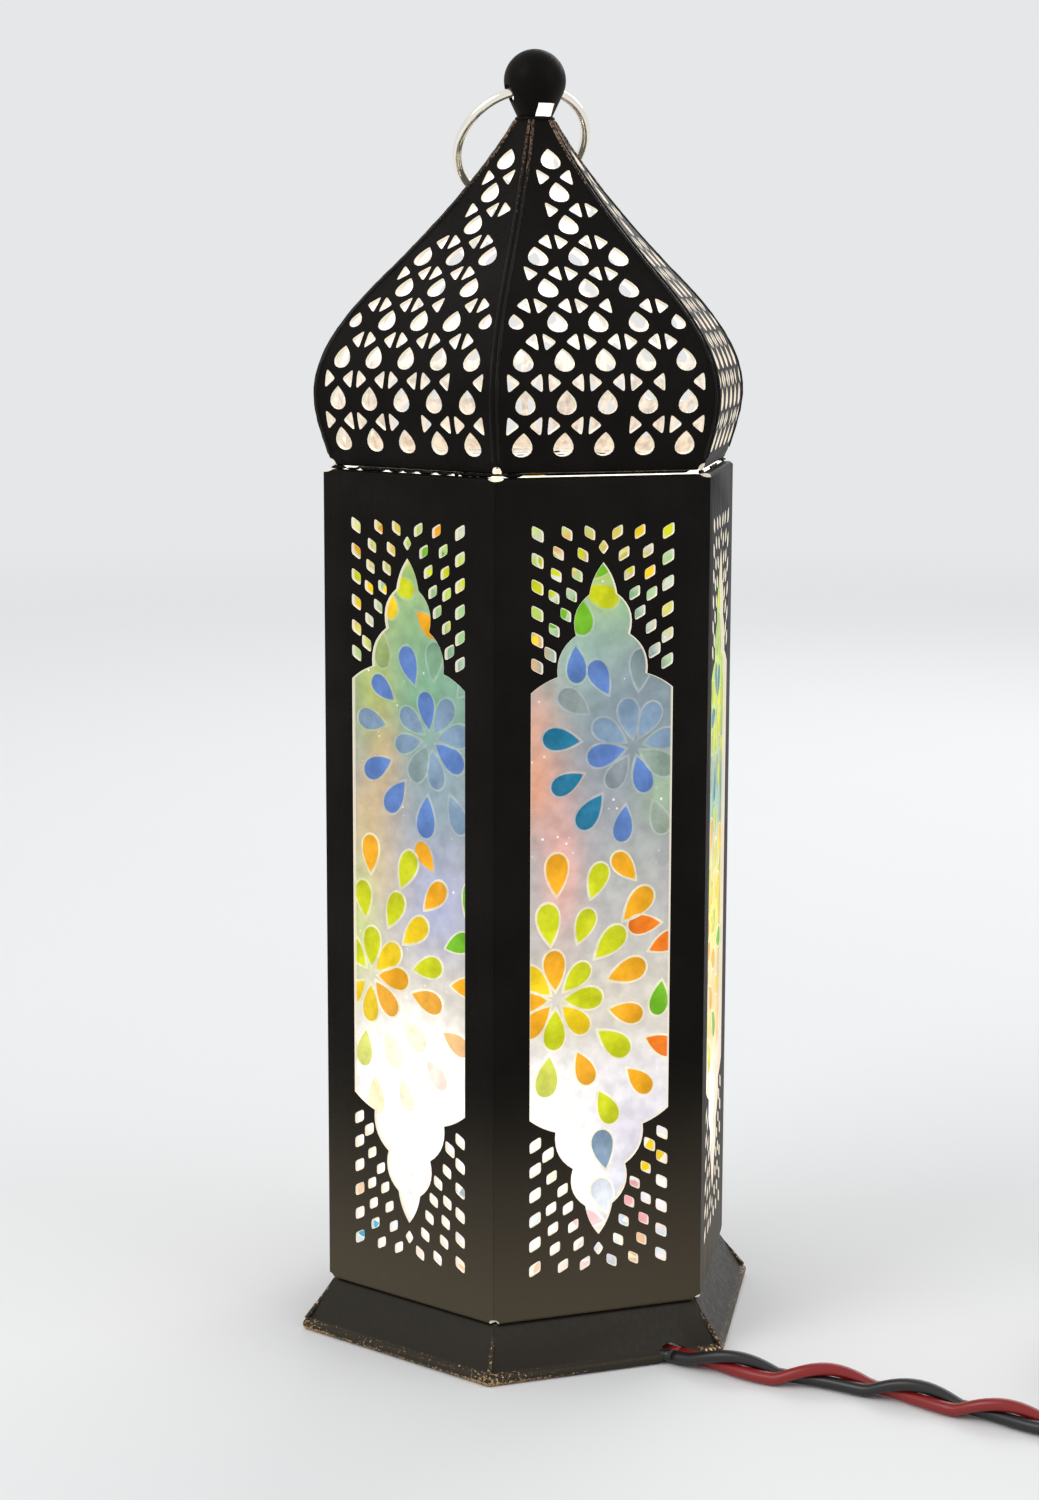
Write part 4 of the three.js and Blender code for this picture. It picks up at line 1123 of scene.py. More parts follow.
dome = {
    "rimRadius": 49.3 * mm,             # at the corners
    "bulge": [(3.6, 12.7), (11.1, 20.8)],
    "shoulder": (-12.1, 42.1),
    "waist": (-34.2, 62.4),
    "tipRadius": 4.8 * mm,
    "rimFold": 6.0 * mm,
    "rimBend": 0.8 * mm,
    "mitreGap": 0.015 * mm,
    "rows": 46,
    "steps": 60,                        # in each half of the middle line
    "runStep": 0.25 * mm,
    "broken": 0.12 * mm,
    "toolDepth": 2.2 * mm,
    "columnPitch": 9.62,
    "rowPitch": 9.4,
    "firstDrop": 6.6,                   # up the face from the rim
    "firstTriangle": 10.9,
    "dropSize": (4.5, 5.3),
    "triangleSize": (2.75, 4.3),
    "triangleSide": 2.6,                # from the middle of a column
    "dropColumns": [5, 5, 5, 5, 3, 3, 1, 1, 1],
    "smallDrops": [(3, -2), (3, 2)],    # row, column
    "smallScale": 0.72,
    "triangleRows": 8,
    "missed": [(0, 0, 1), (1, 2, -1), (3, 1, -1), (4, 1, 1), (6, -1, 1)],   # row, column, side
    "cornerNotch": (1.3 * mm, 1.6 * mm),
    "litFold": 1.0 * mm,                # the fold's inner edge is lit from here inwards and up to here
}


def bezier(points, t):
    while len(points) > 1:
        points = [a.lerp(b, t) for a, b in zip(points, points[1:])]
    return points[0]


# The middle line of a gore: distance from the axis and height
def domeLine():
    rim = Vector((dome["rimRadius"], domeBottom))
    place = lambda out, up: rim + Vector((out, up)) * mm
    shoulder = place(*dome["shoulder"])
    lower = [rim, place(*dome["bulge"][0]), place(*dome["bulge"][1]), shoulder]
    upper = [shoulder, place(*dome["waist"]), Vector((dome["tipRadius"], domeTip))]
    steps = dome["steps"]
    points = [bezier(lower, k / steps) for k in range(steps)]
    points += [bezier(upper, k / steps) for k in range(steps + 1)]
    return [Vector((p.x * math.cos(halfFace), p.y)) for p in points]


domeRun, domeLength = evenRun([Vector((p.x, 0, p.y)) for p in domeLine()], dome["runStep"])


# The place at a length up the middle of a gore, and the direction there
def domeSpot(length):
    k = clamp(length / domeLength) * (len(domeRun) - 1)
    i = min(int(k), len(domeRun) - 2)
    return domeRun[i].lerp(domeRun[i + 1], k - i), (domeRun[i + 1] - domeRun[i]).normalized()


def seatOnDome(across, up):
    spot, along = domeSpot(up * mm)
    return seatOn(spot.x, across * mm, spot.z, math.atan2(-along.x, along.z))


# A drop with its tip down, whose widest place is widthShare of the formula's own
def dropOutline(width, height, count=18):
    widthShare = 0.79
    points = []
    for k in range(count):
        a = 2 * math.pi * (k + 0.5) / count
        across = math.sin(a) * math.sin(a / 2) ** 0.9 * width / 2 / widthShare
        points.append((across, height / 2 * math.cos(a)))
    return points


def triangleOutline(width, height):
    return roundedOutline([(-width / 2, 0), (width / 2, -height / 2), (width / 2, height / 2)], 0.17)


# The columns and sides that have a triangle in a row, which are fewer as the gore narrows
def triangleColumns(row):
    if row < 2:
        return [(c, side) for c in range(-2, 3) for side in (-1, 1)]
    reach = (2, 2, 1.5, 1, 1, 0)[row - 2]
    if not reach:
        return [(0, -1), (0, 1)]
    columns = [(c, side) for c in range(-2, 3) for side in (-1, 1) if abs(c + side * 0.25) < reach]
    return [(c, side) for c, side in columns if abs(c) < reach or c * side < 0]


def domeTools():
    depth, broken = dome["toolDepth"], dome["broken"]
    width, height = [size * mm for size in dome["dropSize"]]
    drop = punchTool("drop_tool", dropOutline(width, height), depth, broken)
    tools = []
    for row, count in enumerate(dome["dropColumns"]):
        for column in range(-(count // 2), count // 2 + 1):
            scale = dome["smallScale"] if (row, column) in dome["smallDrops"] else 1
            place = seatOnDome(column * dome["columnPitch"], dome["firstDrop"] + row * dome["rowPitch"])
            tools.append(copyOf(drop, "drop_copy", place @ Matrix.Diagonal((scale, scale, 1, 1))))
    removePiece(drop)
    width, height = [size * mm for size in dome["triangleSize"]]
    triangle = punchTool("triangle_tool", triangleOutline(width, height), depth, broken)
    for row in range(dome["triangleRows"]):
        for column, side in triangleColumns(row):
            if (row, column, side) in dome["missed"]:
                continue
            across = column * dome["columnPitch"] + side * dome["triangleSide"]
            place = seatOnDome(across, dome["firstTriangle"] + row * dome["rowPitch"])
            tools.append(copyOf(triangle, "triangle_copy", place @ Matrix.Diagonal((side, 1, 1, 1))))
    removePiece(triangle)
    print("holes in a gore:", len(tools))
    return joinPieces(tools, "dome_tools")


def goreProfile():
    rim, bend = domeRun[0], dome["rimBend"]
    points = [(rim.x - dome["rimFold"], domeBottom)]
    for degrees in (-90, -60, -30, 0):
        a = math.radians(degrees)
        points.append((rim.x - bend + bend * math.cos(a), domeBottom + bend + bend * math.sin(a)))
    for k in range(1, dome["rows"] + 1):
        spot, _ = domeSpot(bend + (domeLength - bend) * k / dome["rows"])
        points.append((spot.x, spot.z))
    return points


def makeGore():
    profile = goreProfile()
    clearSelection()
    bpy.ops.mesh.primitive_grid_add(x_subdivisions=1, y_subdivisions=len(profile) - 1)
    piece = bpy.context.object
    for k, corner in enumerate(piece.data.vertices):
        out, height = profile[k // 2]
        side = 1 if k % 2 else -1
        corner.co = (out, side * (out * faceSlope - dome["mitreGap"]), height)
    if sum(face.normal.x for face in piece.data.polygons) < 0:
        flipFaces(piece)
    wall = piece.modifiers.new("wall", "SOLIDIFY")
    wall.thickness = sheetThickness
    wall.offset = -1
    wall.use_even_offset = True
    applyModifiers(piece)
    for corner in piece.data.vertices:
        corner.co.y = math.copysign(corner.co.x * faceSlope - dome["mitreGap"], corner.co.y)
    addMaterials(piece, blackPaint, litTin, glowingCutEdge)
    smoothByAngle(piece, 40)
    cutWith(piece, domeTools())
    tools = cornerTools(domeRun[0].x * faceSlope, domeBottom - panel["notchProud"], dome["cornerNotch"], 1)
    cutWith(piece, joinPieces(tools, "rim_tools"))
    sortGoreFaces(piece)
    smoothByAngle(piece, 30)
    return piece


# Paint outside, and lit metal inside and on the fold. Cut edges keep their material.
def sortGoreFaces(piece):
    painted, lit, edge = 0, 1, 2
    for face in piece.data.polygons:
        if face.material_index == edge:
            continue
        spot = Vector((face.center.x, 0, face.center.z))
        nearest = min(range(0, len(domeRun), 4), key=lambda k: (domeRun[k] - spot).length)
        _, along = domeSpot(domeLength * nearest / (len(domeRun) - 1))
        outwards = Vector((along.z, 0, -along.x))
        inFold = spot.x < domeRun[0].x - dome["litFold"] and spot.z < domeBottom + dome["litFold"]
        face.material_index = lit if inFold or face.normal.dot(outwards) < -0.7 else painted


copyRound(makeGore(), "pierced_gore", "dome_gore", "lantern_body")
print("dome gores punched")


# Solder in the slit between the body and the dome. The runs are across each of three sides, in millimetres.
slit = {
    "whole": [[(-25.0, -20.6), (13.4, 22.9)], [(-22.9, -18.4), (23.6, 24.6)], [(-24.8, -21.0), (20.6, 24.8)]],
    "dashes": [(-20.6, 13.4), None, (-6.0, 9.0)],
    "dash": (2.5, 7.5),                 # length of one dash
    "gap": (0.4, 1.4),
    "inFromFace": 0.55 * mm,
    "wholeSize": 1.15,                  # shares of half the slit: radius of a whole stretch and of a dash
    "dashSize": (0.68, 0.84),
    "dashHeight": 0.62,
    "step": 0.7,
}


def makeSlitSolder():
    out, middle = domeRun[0].x - slit["inFromFace"], (bodyTop + domeBottom) / 2
    half = (domeBottom - bodyTop) / 2
    for number in range(1, faceCount + 1):
        which = (number - 1) % 3
        beads = [(a, b, half * slit["wholeSize"], middle) for a, b in slit["whole"][which]]
        dice = random.Random(70 + number)
        if slit["dashes"][which]:
            at, end = slit["dashes"][which]
            while at < end:
                length = min(dice.uniform(*slit["dash"]), end - at)
                radius = half * dice.uniform(*slit["dashSize"])
                beads.append((at, at + length, radius, bodyTop + half * slit["dashHeight"]))
                at += length + dice.uniform(*slit["gap"])
        pieces = []
        for a, b, radius, height in beads:
            count = max(6, round((b - a) / slit["step"]))
            run = [Vector((out, (a + (b - a) * k / count) * mm, height)) for k in range(count + 1)]
            taper = lambda k: min(1, (min(k, count - k) + 0.6) / 2)
            radii = [radius * taper(k) * dice.uniform(0.92, 1.08) for k in range(count + 1)]
            pieces.append(tubeAlong("solder_bead", run, radii))
        joined = joinPieces(pieces, f"slit_solder_{number}")
        joined.data.transform(faceTurn(number))
        smoothByAngle(joined, 60)
        dress(joined, "lantern_body", "painted_iron", blackPaint)


# Folded seams along the dome's corners: two soldered lines side by side
seam = {
    "radius": 0.46 * mm,
    "apart": 0.58 * mm,                 # each line from the corner
    "steps": 70,
    "spans": (0.03, 0.995),             # shares of the way up where the lines begin and end
    "rough": (0.88, 0.22),              # least radius as a share, and how much it may be more
    "proud": 0.05 * mm,
    "atTip": 0.35,                      # share of the distance apart that is left on the axis
    "closeUp": 14 * mm,                 # how far out the rest of it comes back
    # From here up the seam wears more; the bare metal also paints the bronze reflection along the upper seam
    "wearAndGlintFrom": 0.50,                   # share of the way up where the paint begins to wear
}


# An eight-sided tube with a radius for each place along it
def tubeAlong(name, run, radii):
    curve = bpy.data.curves.new(name, "CURVE")
    curve.dimensions = "3D"
    spline = curve.splines.new("POLY")
    spline.points.add(len(run) - 1)
    for point, spot, radius in zip(spline.points, run, radii):
        point.co = (*spot, 1)
        point.radius = radius
    curve.bevel_depth = 1
    curve.bevel_resolution = 1
    curve.use_fill_caps = True
    piece = bpy.data.objects.new(name, curve)
    bpy.context.scene.collection.objects.link(piece)
    makeActive(piece)
    bpy.ops.object.convert(target="MESH")
    piece = bpy.context.object
    cleanShell(piece)
    return piece


# The corner between a side and the one before it
def cornerAngle(number):
    return (2 * number - 3) * halfFace


def paintWorn(piece, wornAt):
    mask = piece.data.attributes.new("worn", "FLOAT", "POINT")
    for corner, value in zip(piece.data.vertices, mask.data):
        value.value = wornAt(corner.co)


def seamLine(around, offset, seed):
    run, radii = [], []
    outwards = Vector((math.cos(around), math.sin(around), 0))
    sideways = Vector((-math.sin(around), math.cos(around), 0))
    wobble = random.Random(seed)
    (begin, end), (least, more) = seam["spans"], seam["rough"]
    for k in range(seam["steps"] + 1):
        spot, _ = domeSpot(domeLength * (begin + (end - begin) * k / seam["steps"]))
        narrow = min(1, seam["atTip"] + spot.x / seam["closeUp"])
        inFromCorner = abs(offset) * narrow * faceSlope
        radius = spot.x / math.cos(halfFace) - inFromCorner - seam["radius"] * 0.5 + seam["proud"]
        run.append(outwards * radius + sideways * offset * narrow + Vector((0, 0, spot.z)))
        radii.append(seam["radius"] * (least + more * wobble.random()))
    return tubeAlong("seam_line", run, radii)


def makeSeams():
    for number in range(1, faceCount + 1):
        around = cornerAngle(number)
        lines = [seamLine(around, side * seam["apart"], 2 * number + side) for side in (-1, 1)]
        piece = joinPieces(lines, f"dome_seam_{number}")
        # Wear that grows towards the tip, which doubles as a painted reflection
        share = lambda spot: (spot.z - domeBottom) / (domeTip - domeBottom)
        begin = seam["wearAndGlintFrom"]
        paintWorn(piece, lambda spot: 0.95 * clamp((share(spot) - begin) / (1 - begin)))
        smoothByAngle(piece, 60)
        dress(piece, "lantern_body", "painted_iron", seamPaint)


makeSlitSolder()
makeSeams()
print("dome seams soldered")


# Foot

foot = {
    "lip": 1.35 * mm,                   # radius of the rolled edge
    "lipOut": 0.35 * mm,                # how far it stands outside the solid's
    "topRound": 0.7 * mm,
    "mitreGap": 0.06 * mm,
    "notch": (3.3 * mm, 4.2 * mm),      # half width, height
    "notchReach": 12 * mm,              # how far its tool goes each way
    "innerLine": (1.2, 1.3),            # sheet thicknesses in from the outer line, at the top and at the lip
    "outerStart": (0.1, 0.15 * mm),     # where the outer line leaves the lip: thicknesses in, height above it
    "topFlat": 43.56 * mm,
    "wornEnd": 11 * mm,                 # length of lip at each corner where the paint is worn
    "worn": (0.40, 0.34, 0.30),         # everywhere, more on the lip's lower half, more towards the corners
    "lipTop": 3.24 * mm,                # up to here the paint is the lip's
    "seam": 0.5 * mm,
    "seamWorn": 0.6,
    "seamIn": 0.55 * mm,
}


def footSection():
    lip, height, t = foot["lip"], footHigh.z, sheetThickness
    lipOut = footHigh.x + foot["lipOut"] - lip
    topFlat, r = foot["topFlat"], foot["topRound"]
    (atTop, atLip), (inwards, above) = foot["innerLine"], foot["outerStart"]
    points = [(foldEdge, height - t), (topFlat - t * atTop, height - t), (lipOut - t * atLip, 2 * lip)]
    for degrees in range(160, 421, 20):
        a = math.radians(degrees)
        points.append((lipOut + lip * math.cos(a), lip + lip * math.sin(a)))
    slope = Vector((topFlat - lipOut, height - 2 * lip)).normalized()
    points.append((lipOut - t * inwards, 2 * lip + above))
    top = Vector((topFlat, height))
    for k in range(5):
        spot = quadratic(top - slope * r, top, top - Vector((r, 0)), k / 4)
        points.append((spot.x, spot.y))
    points.append((foldEdge, height))
    return points


def notchTool():
    start, end = Vector(cord["lead"][-3]) * mm, Vector(cord["free"][2]) * mm
    along = Vector((end.x - start.x, end.y - start.y, 0)).normalized()
    (half, height), reach = foot["notch"], foot["notchReach"]
    arch = [(-half, -2 * mm), (half, -2 * mm)]
    for k in range(13):
        a = math.pi * k / 12
        arch.append((half * math.cos(a), height - half + half * math.sin(a)))
    tool = outlinePiece("notch_tool", [(x, y, -reach) for x, y in arch])
    extrudeBy(tool, (0, 0, 2 * reach))
    middle = Vector(((start.x + end.x) / 2, (start.y + end.y) / 2, 0))
    tool.data.transform(axesAt(upwards.cross(along), upwards, along, middle))
    addMaterials(tool, dullEdge)
    return tool


# Solder along a corner of the foot, from the lip to the top
def footSeam(number):
    around, wobble = cornerAngle(number), random.Random(90 + number)
    place = lambda flat, height: Vector((flat / math.cos(halfFace) - foot["seamIn"], 0, height))
    low, high = place(footHigh.x, 2 * foot["lip"]), place(foot["topFlat"], footHigh.z - foot["seam"])
    run = [Matrix.Rotation(around, 3, "Z") @ low.lerp(high, k / 12) for k in range(13)]
    piece = tubeAlong(f"foot_seam_{number}", run, [foot["seam"] * wobble.uniform(0.85, 1.2) for _ in run])
    paintWorn(piece, lambda spot: foot["seamWorn"])
    smoothByAngle(piece, 60)
    dress(piece, "lantern_body", "painted_iron", wornPaint)


def makeFoot():
    master = mitredPiece("foot_master", footSection(), foot["mitreGap"])
    half = footHigh.x * faceSlope
    ends = [half - foot["wornEnd"] * share for share in (1.0, 0.55, 0.2)]
    splitAcross(master, (0, 1, 0), [side * place for side in (-1, 1) for place in ends])
    atEnds = lambda spot: clamp((abs(spot.y) - ends[0]) / foot["wornEnd"])
    least, onLip, atCorners = foot["worn"]
    paintWorn(master, lambda spot: least + (onLip if spot.z < foot["lip"] else 0) + atCorners * atEnds(spot))
    addMaterials(master, footPaint, dullEdge, wornPaint)
    painted, worn = 0, 2
    for face in master.data.polygons:
        inside = face.normal.x < -0.3 and face.center.x < footHigh.x - 2.4 * mm
        face.material_index = worn if face.center.z < foot["lipTop"] and not inside else painted
    for number in range(1, faceCount + 1):
        piece = copyOf(master, f"foot_side_{number}")
        piece.data.transform(faceTurn(number))
        if number == 2:
            cutWith(piece, notchTool())
        smoothByAngle(piece, 40)
        footSeam(number)
        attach(piece, "lantern_body")
        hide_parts(f"foot_panel_{number}")
    removePiece(master)


makeFoot()
print("foot folded")


# Finial and ring

finial = {
    "radius": 7.15 * mm,
    "wall": 0.8 * mm,
    "rise": 8.75 * mm,                  # centre of the ball above the dome's tip
    "neck": 3.9 * mm,
    "lift": 0.3 * mm,                   # from the dome's tip up to the neck
    "window": 4.2 * mm,
    "windowTurn": math.radians(-48),
    "hole": 2.0 * mm,
    "pivotDrop": 2.85 * mm,
    "bead": 0.55 * mm,
}

ring = {
    "radius": 15.5 * mm,
    "wire": 1.12 * mm,
    "turn": math.radians(120),          # side of the dome on which it lies
}

ballCentre = domeTip + finial["rise"]
pivot = Vector((0, 0, ballCentre - finial["pivotDrop"]))


def ballSection(radius, neck):
    bottom = domeTip + finial["lift"]
    reach = math.hypot(neck, ballCentre - bottom)
    meet = math.atan2(bottom - ballCentre, neck) + math.acos(radius / reach)
    points = [(neck, bottom)]
    for k in range(25):
        a = meet + (math.pi / 2 - meet) * k / 24
        points.append((0 if k == 24 else radius * math.cos(a), ballCentre + radius * math.sin(a)))
    return points


def makeFinial():
    outer = ballSection(finial["radius"], finial["neck"])
    inner = ballSection(finial["radius"] - finial["wall"], finial["neck"] - finial["wall"])
    piece = turnedPiece("ball_finial", outer + inner[::-1], 64)
    addMaterials(piece, blackPaint, glowingCutEdge, litTin)
    painted, lit = 0, 2
    middle = Vector((0, 0, ballCentre))
    for face in piece.data.polygons:
        spot = face.center
        outwards = spot - middle if spot.z > pivot.z else Vector((spot.x, spot.y, 0))
        inNeck = face.normal.dot(outwards) < 0 and spot.z < domeTip + 1.2 * finial["window"]
        face.material_index = lit if inNeck else painted
    clearSelection()
    bpy.ops.mesh.primitive_cylinder_add(vertices=32, radius=finial["hole"], depth=4 * finial["radius"],
                                        location=pivot, rotation=(0, math.pi / 2, ring["turn"] - math.pi / 2))
    hole = settledPiece()
    clearSelection()
    place = (finial["neck"] + 1 * mm, 0, domeTip + finial["lift"] + finial["window"] / 2 - 1 * mm)
    bpy.ops.mesh.primitive_cube_add(size=1, location=place,
                                    scale=(2 * finial["neck"], finial["window"], finial["window"]))
    light = settledPiece()
    light.data.transform(Matrix.Rotation(finial["windowTurn"], 4, "Z"))
    for tool, material in ((hole, blackPaint), (light, glowingCutEdge)):
        addMaterials(tool, material)
        cutWith(piece, tool)
    smoothByAngle(piece, 35)
    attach(piece, "lantern_body")
    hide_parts("finial")
    clearSelection()
    bpy.ops.mesh.primitive_torus_add(major_radius=finial["neck"] + 0.2 * mm, minor_radius=finial["bead"],
                                     major_segments=48, minor_segments=10,
                                     location=(0, 0, domeTip + 0.1 * mm))
    bead = settledPiece()
    bead.name = "neck_solder"
    smoothByAngle(bead, 60)
    dress(bead, "lantern_body", "painted_iron", blackPaint)


def makeRing():
    low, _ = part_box("hanging_ring")
    outwards = Vector((math.cos(ring["turn"]), math.sin(ring["turn"]), 0))
    ballHalf = math.sqrt(finial["radius"] ** 2 - finial["pivotDrop"] ** 2) - finial["wall"] / 2
    offset = math.sqrt(ring["radius"] ** 2 - ballHalf ** 2)
    drop = pivot.z - low.z                              # how far the ring's lowest point lies below the pivot
    reach = offset + ring["radius"]
    lean = 0.3
    for _ in range(40):                                 # the lean that gives this drop
        lean += (reach * math.cos(lean) + ring["wire"] - drop) / (reach * math.sin(lean))
    clearSelection()
    bpy.ops.mesh.primitive_torus_add(major_radius=ring["radius"], minor_radius=ring["wire"],
                                     major_segments=120, minor_segments=20)
    piece = bpy.context.object
    piece.name = "wire_ring"
    down = outwards * math.sin(lean) - Vector((0, 0, math.cos(lean)))
    side = Vector((-outwards.y, outwards.x, 0))
    piece.data.transform(axesAt(side, down, side.cross(down), pivot + down * offset))
    smoothByAngle(piece, 60)
    dress(piece, "ring", "bright_steel", glowingRingSteel)
    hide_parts("hanging_ring")


makeFinial()
makeRing()
print("finial and ring made")


# Glass panes with their painted petals

petals = {
    "bursts": [                         # across, height, petals in each ring, turn
        (7.0, 147.0, (8, 12), 0.3), (-11.5, 90.0, (8, 13, 16), 0.0), (16.5, 106.0, (7, 11), 0.45),
        (3.0, 36.0, (7, 10), 0.2), (-8.0, 184.0, (7, 8), 0.6), (13.5, 190.0, (6, 8), 0.2),
        (15.0, 20.0, (6, 8), 0.5), (-14.0, 21.0, (6, 8), 0.1),
    ],
    "first": 1.3,                       # tips of the first ring from the middle of the burst
    "length": 10.6,
    "width": 6.0,
    "ringPitch": 11.0,
    "circles": [(2.2, 2.55), (-1.0, 1.75), (-4.2, 0.55)],   # along the petal, radius, to keep petals apart
    "overlap": 0.93,                    # how near two circles may come, as a share of their radii
    "bounds": (18.0, 18, 194),          # farthest middle of a petal across, lowest and highest
    "lift": 0.02 * mm,
    "thick": 0.22 * mm,
    "section": [(0.97, 1.0), (0.90, 1.0), (0.95, 0.45), (0.70, 0.70)],      # shares: next size, height
    "corners": 22,
    "shade": (1.2, 0.35),               # brightness at the tip, and how much less at the round end
    "plainShade": 0.86,
    "lampCurve": (2.2, 0.7),            # power and share of the lamp's white in a petal
    "rimBelow": 118,                    # millimetres: up to here the raised lines have the low look
    "rimLow": ((1.0, 0.95, 0.62), 0.62),
    "rimHigh": ((0.62, 0.68, 0.66), 0.28),
}

petalTints = {
    "lime": (0.64, 0.69, 0.003), "leaf": (0.17, 0.50, 0.01), "yellow": (0.92, 0.64, 0.003),
    "amber": (0.92, 0.42, 0.006), "orange": (0.88, 0.20, 0.004), "red": (0.84, 0.07, 0.004),
    "blue": (0.11, 0.22, 0.54), "teal": (0.01, 0.18, 0.32), "mist": (0.22, 0.33, 0.46),
    "pink": (1.0, 0.46, 0.50), "peach": (1.0, 0.62, 0.36), "pearl": (0.78, 0.82, 0.90),
    "cyan": (0.02, 0.46, 0.72),
}


# Plain petals have no colour of their own: the washed glass shows in them
def petalTint(side, across, height, ringNumber, dice):
    if height > 166:
        names = ("lime", "yellow", "lime", "amber", "leaf", "lime")
    elif height > 124:
        names = ("blue", "plain", "mist")
        if ringNumber:
            names = ("blue", "plain", "plain", "mist", "plain", "teal")
        if side % 3 == 0:
            names = ("lime", "plain", "lime", "teal")
    elif height > 60:
        if across > 5:
            names = ("amber", "orange", "amber", "orange", "yellow", "leaf")
        elif ringNumber:
            names = ("lime", "lime", "yellow", "lime", "lime", "amber")
        else:
            names = ("amber", "yellow", "lime", "amber")
    elif height > 44:
        names = ("pearl", "mist", "peach", "yellow")
    else:
        names = ("pink", "pearl", "peach", "cyan", "pink", "mist", "peach")
    return petalTints.get(dice.choice(names))


def isCrowded(petal, other):
    spread = []
    for x, z, a, scale in (petal[:4], other[:4]):
        spread.append([(x + d * scale * math.cos(a), z + d * scale * math.sin(a), r * scale)
                       for d, r in petals["circles"]])
    return any(math.hypot(p[0] - q[0], p[1] - q[1]) < (p[2] + q[2]) * petals["overlap"]
               for p in spread[0] for q in spread[1])


def petalLayout(number):
    dice = random.Random(40 + number)
    shiftAcross, shiftUp = dice.uniform(-4, 4), dice.uniform(-3, 3)
    farthest, lowest, highest = petals["bounds"]
    laid = []
    for across, height, counts, turn in petals["bursts"]:
        centreX, centreZ = across + shiftAcross, height + shiftUp
        for ringNumber, count in enumerate(counts):
            for k in range(count):
                a = 2 * math.pi * (k + turn + 0.5 * ringNumber) / count + dice.uniform(-0.06, 0.06)
                middle = petals["first"] + petals["length"] / 2 + ringNumber * petals["ringPitch"]
                middle += dice.uniform(-0.3, 0.3)
                x, z = centreX + middle * math.cos(a), centreZ + middle * math.sin(a)
                tint = petalTint(number, x, z, ringNumber, dice)
                scale = dice.uniform(0.86, 1.06)
                if abs(x) > farthest or not lowest < z < highest:
                    continue
                if not any(isCrowded((x, z, a, scale), other) for other in laid):
                    laid.append((x, z, a, scale, tint))
    return laid


# A flat drop with a raised line round it, its tip towards -X
def petalMaster():
    drop = dropOutline(petals["width"] * mm, petals["length"] * mm, petals["corners"])
    piece = outlinePiece("petal_master", [(-y, -x, 0) for x, y in drop])
    if piece.data.polygons[0].normal.z < 0:
        flipFaces(piece)
    editAll(piece)
    middle, level = (petals["length"] * mm * 0.16, 0, 0), 0
    for size, height in petals["section"]:
        move = (0, 0, (height - level) * petals["thick"])
        bpy.ops.mesh.extrude_region_move(TRANSFORM_OT_translate={"value": move})
        bpy.ops.transform.resize(value=(size, size, 1), center_override=middle)
        level = height
    backToObject()
    smoothByAngle(piece, 50)
    return piece


def paintPetal(piece, side, x, z, tint):
    colours = piece.data.color_attributes.new("petalColour", "FLOAT_COLOR", "CORNER")
    glow = lampGlow(side, x, z)
    ground = glassColour(side, x, z)
    tint = tint or [c * petals["plainShade"] for c in ground]
    rim, share = petals["rimLow" if z < petals["rimBelow"] else "rimHigh"]
    line = blend(blend(ground, rim, share), pane["white"], glow)
    atTip, less = petals["shade"]
    power, most = petals["lampCurve"]
    for face in piece.data.polygons:
        for corner in face.loop_indices:
            spot = piece.data.vertices[piece.data.loops[corner].vertex_index].co
            t = spot.x / (petals["length"] * mm) + 0.5          # 0 at the tip, 1 at the round end
            body = tuple(c * (atTip - less * t) for c in tint)
            body = blend(body, pane["white"], glow ** power * most)
            onLine = spot.z > petals["thick"] * 0.9 or spot.z < petals["thick"] * 0.1
            colours.data[corner].color = (*(line if onLine else body), 1)


def makePetals(master, number):
    pieces = []
    for x, z, a, scale, tint in petalLayout(number):
        piece = copyOf(master, "petal")
        paintPetal(piece, number, x, z, tint)
        place = seatOn(paneHigh.x + petals["lift"], x * mm, z * mm) @ Matrix.Rotation(a, 4, "Z")
        piece.data.transform(place @ Matrix.Diagonal((scale, scale, 1, 1)))
        pieces.append(piece)
    joined = joinPieces(pieces, f"painted_petals_{number}")
    joined.data.transform(faceTurn(number))
    dress(joined, "lantern_body", "art_glass", petalEnamel)


def paneMaster():
    clearSelection()
    middle, size = (paneLow + paneHigh) / 2, paneHigh - paneLow
    bpy.ops.mesh.primitive_cube_add(size=1, location=middle, scale=size)
    piece = settledPiece()
    through = lambda a, b: abs(a.y - b.y) < tiny and abs(a.z - b.z) < tiny
    bevelEdges(piece, through, 2.5 * mm, 1)
    bevelEdges(piece, lambda a, b: abs(a.x - b.x) < tiny, 0.25 * mm, 2)
    columns, rows = pane["columns"], pane["rows"]
    splitAcross(piece, (0, 1, 0), [paneLow.y + size.y * k / columns for k in range(1, columns)])
    splitAcross(piece, (0, 0, 1), [paneLow.z + size.z * k / rows for k in range(1, rows)])
    smoothByAngle(piece, 30)
    addMaterials(piece, washedGlass)
    return piece


def makePanes():
    master = paneMaster()
    for number in range(1, faceCount + 1):
        piece = copyOf(master, f"window_glass_{number}")
        colours = piece.data.color_attributes.new("glassColour", "FLOAT_COLOR", "POINT")
        for corner, value in zip(piece.data.vertices, colours.data):
            value.color = (*glassColour(number, corner.co.y / mm, corner.co.z / mm), 1)
        piece.data.transform(faceTurn(number))
        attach(piece, "lantern_body")
        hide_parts(f"glass_pane_{number}")
    removePiece(master)


makePanes()
petalMasterPiece = petalMaster()
for number in range(1, faceCount + 1):
    makePetals(petalMasterPiece, number)
removePiece(petalMasterPiece)
print("panes glazed and painted")


# Lamp

bulb = {
    "cap": (6.6 * mm, 6.8 * mm, 3 * mm),        # radius at the cap's edge, radius and height above it
    "neck": (9.0 * mm, 6 * mm),                 # radius, below the middle of the globe
}


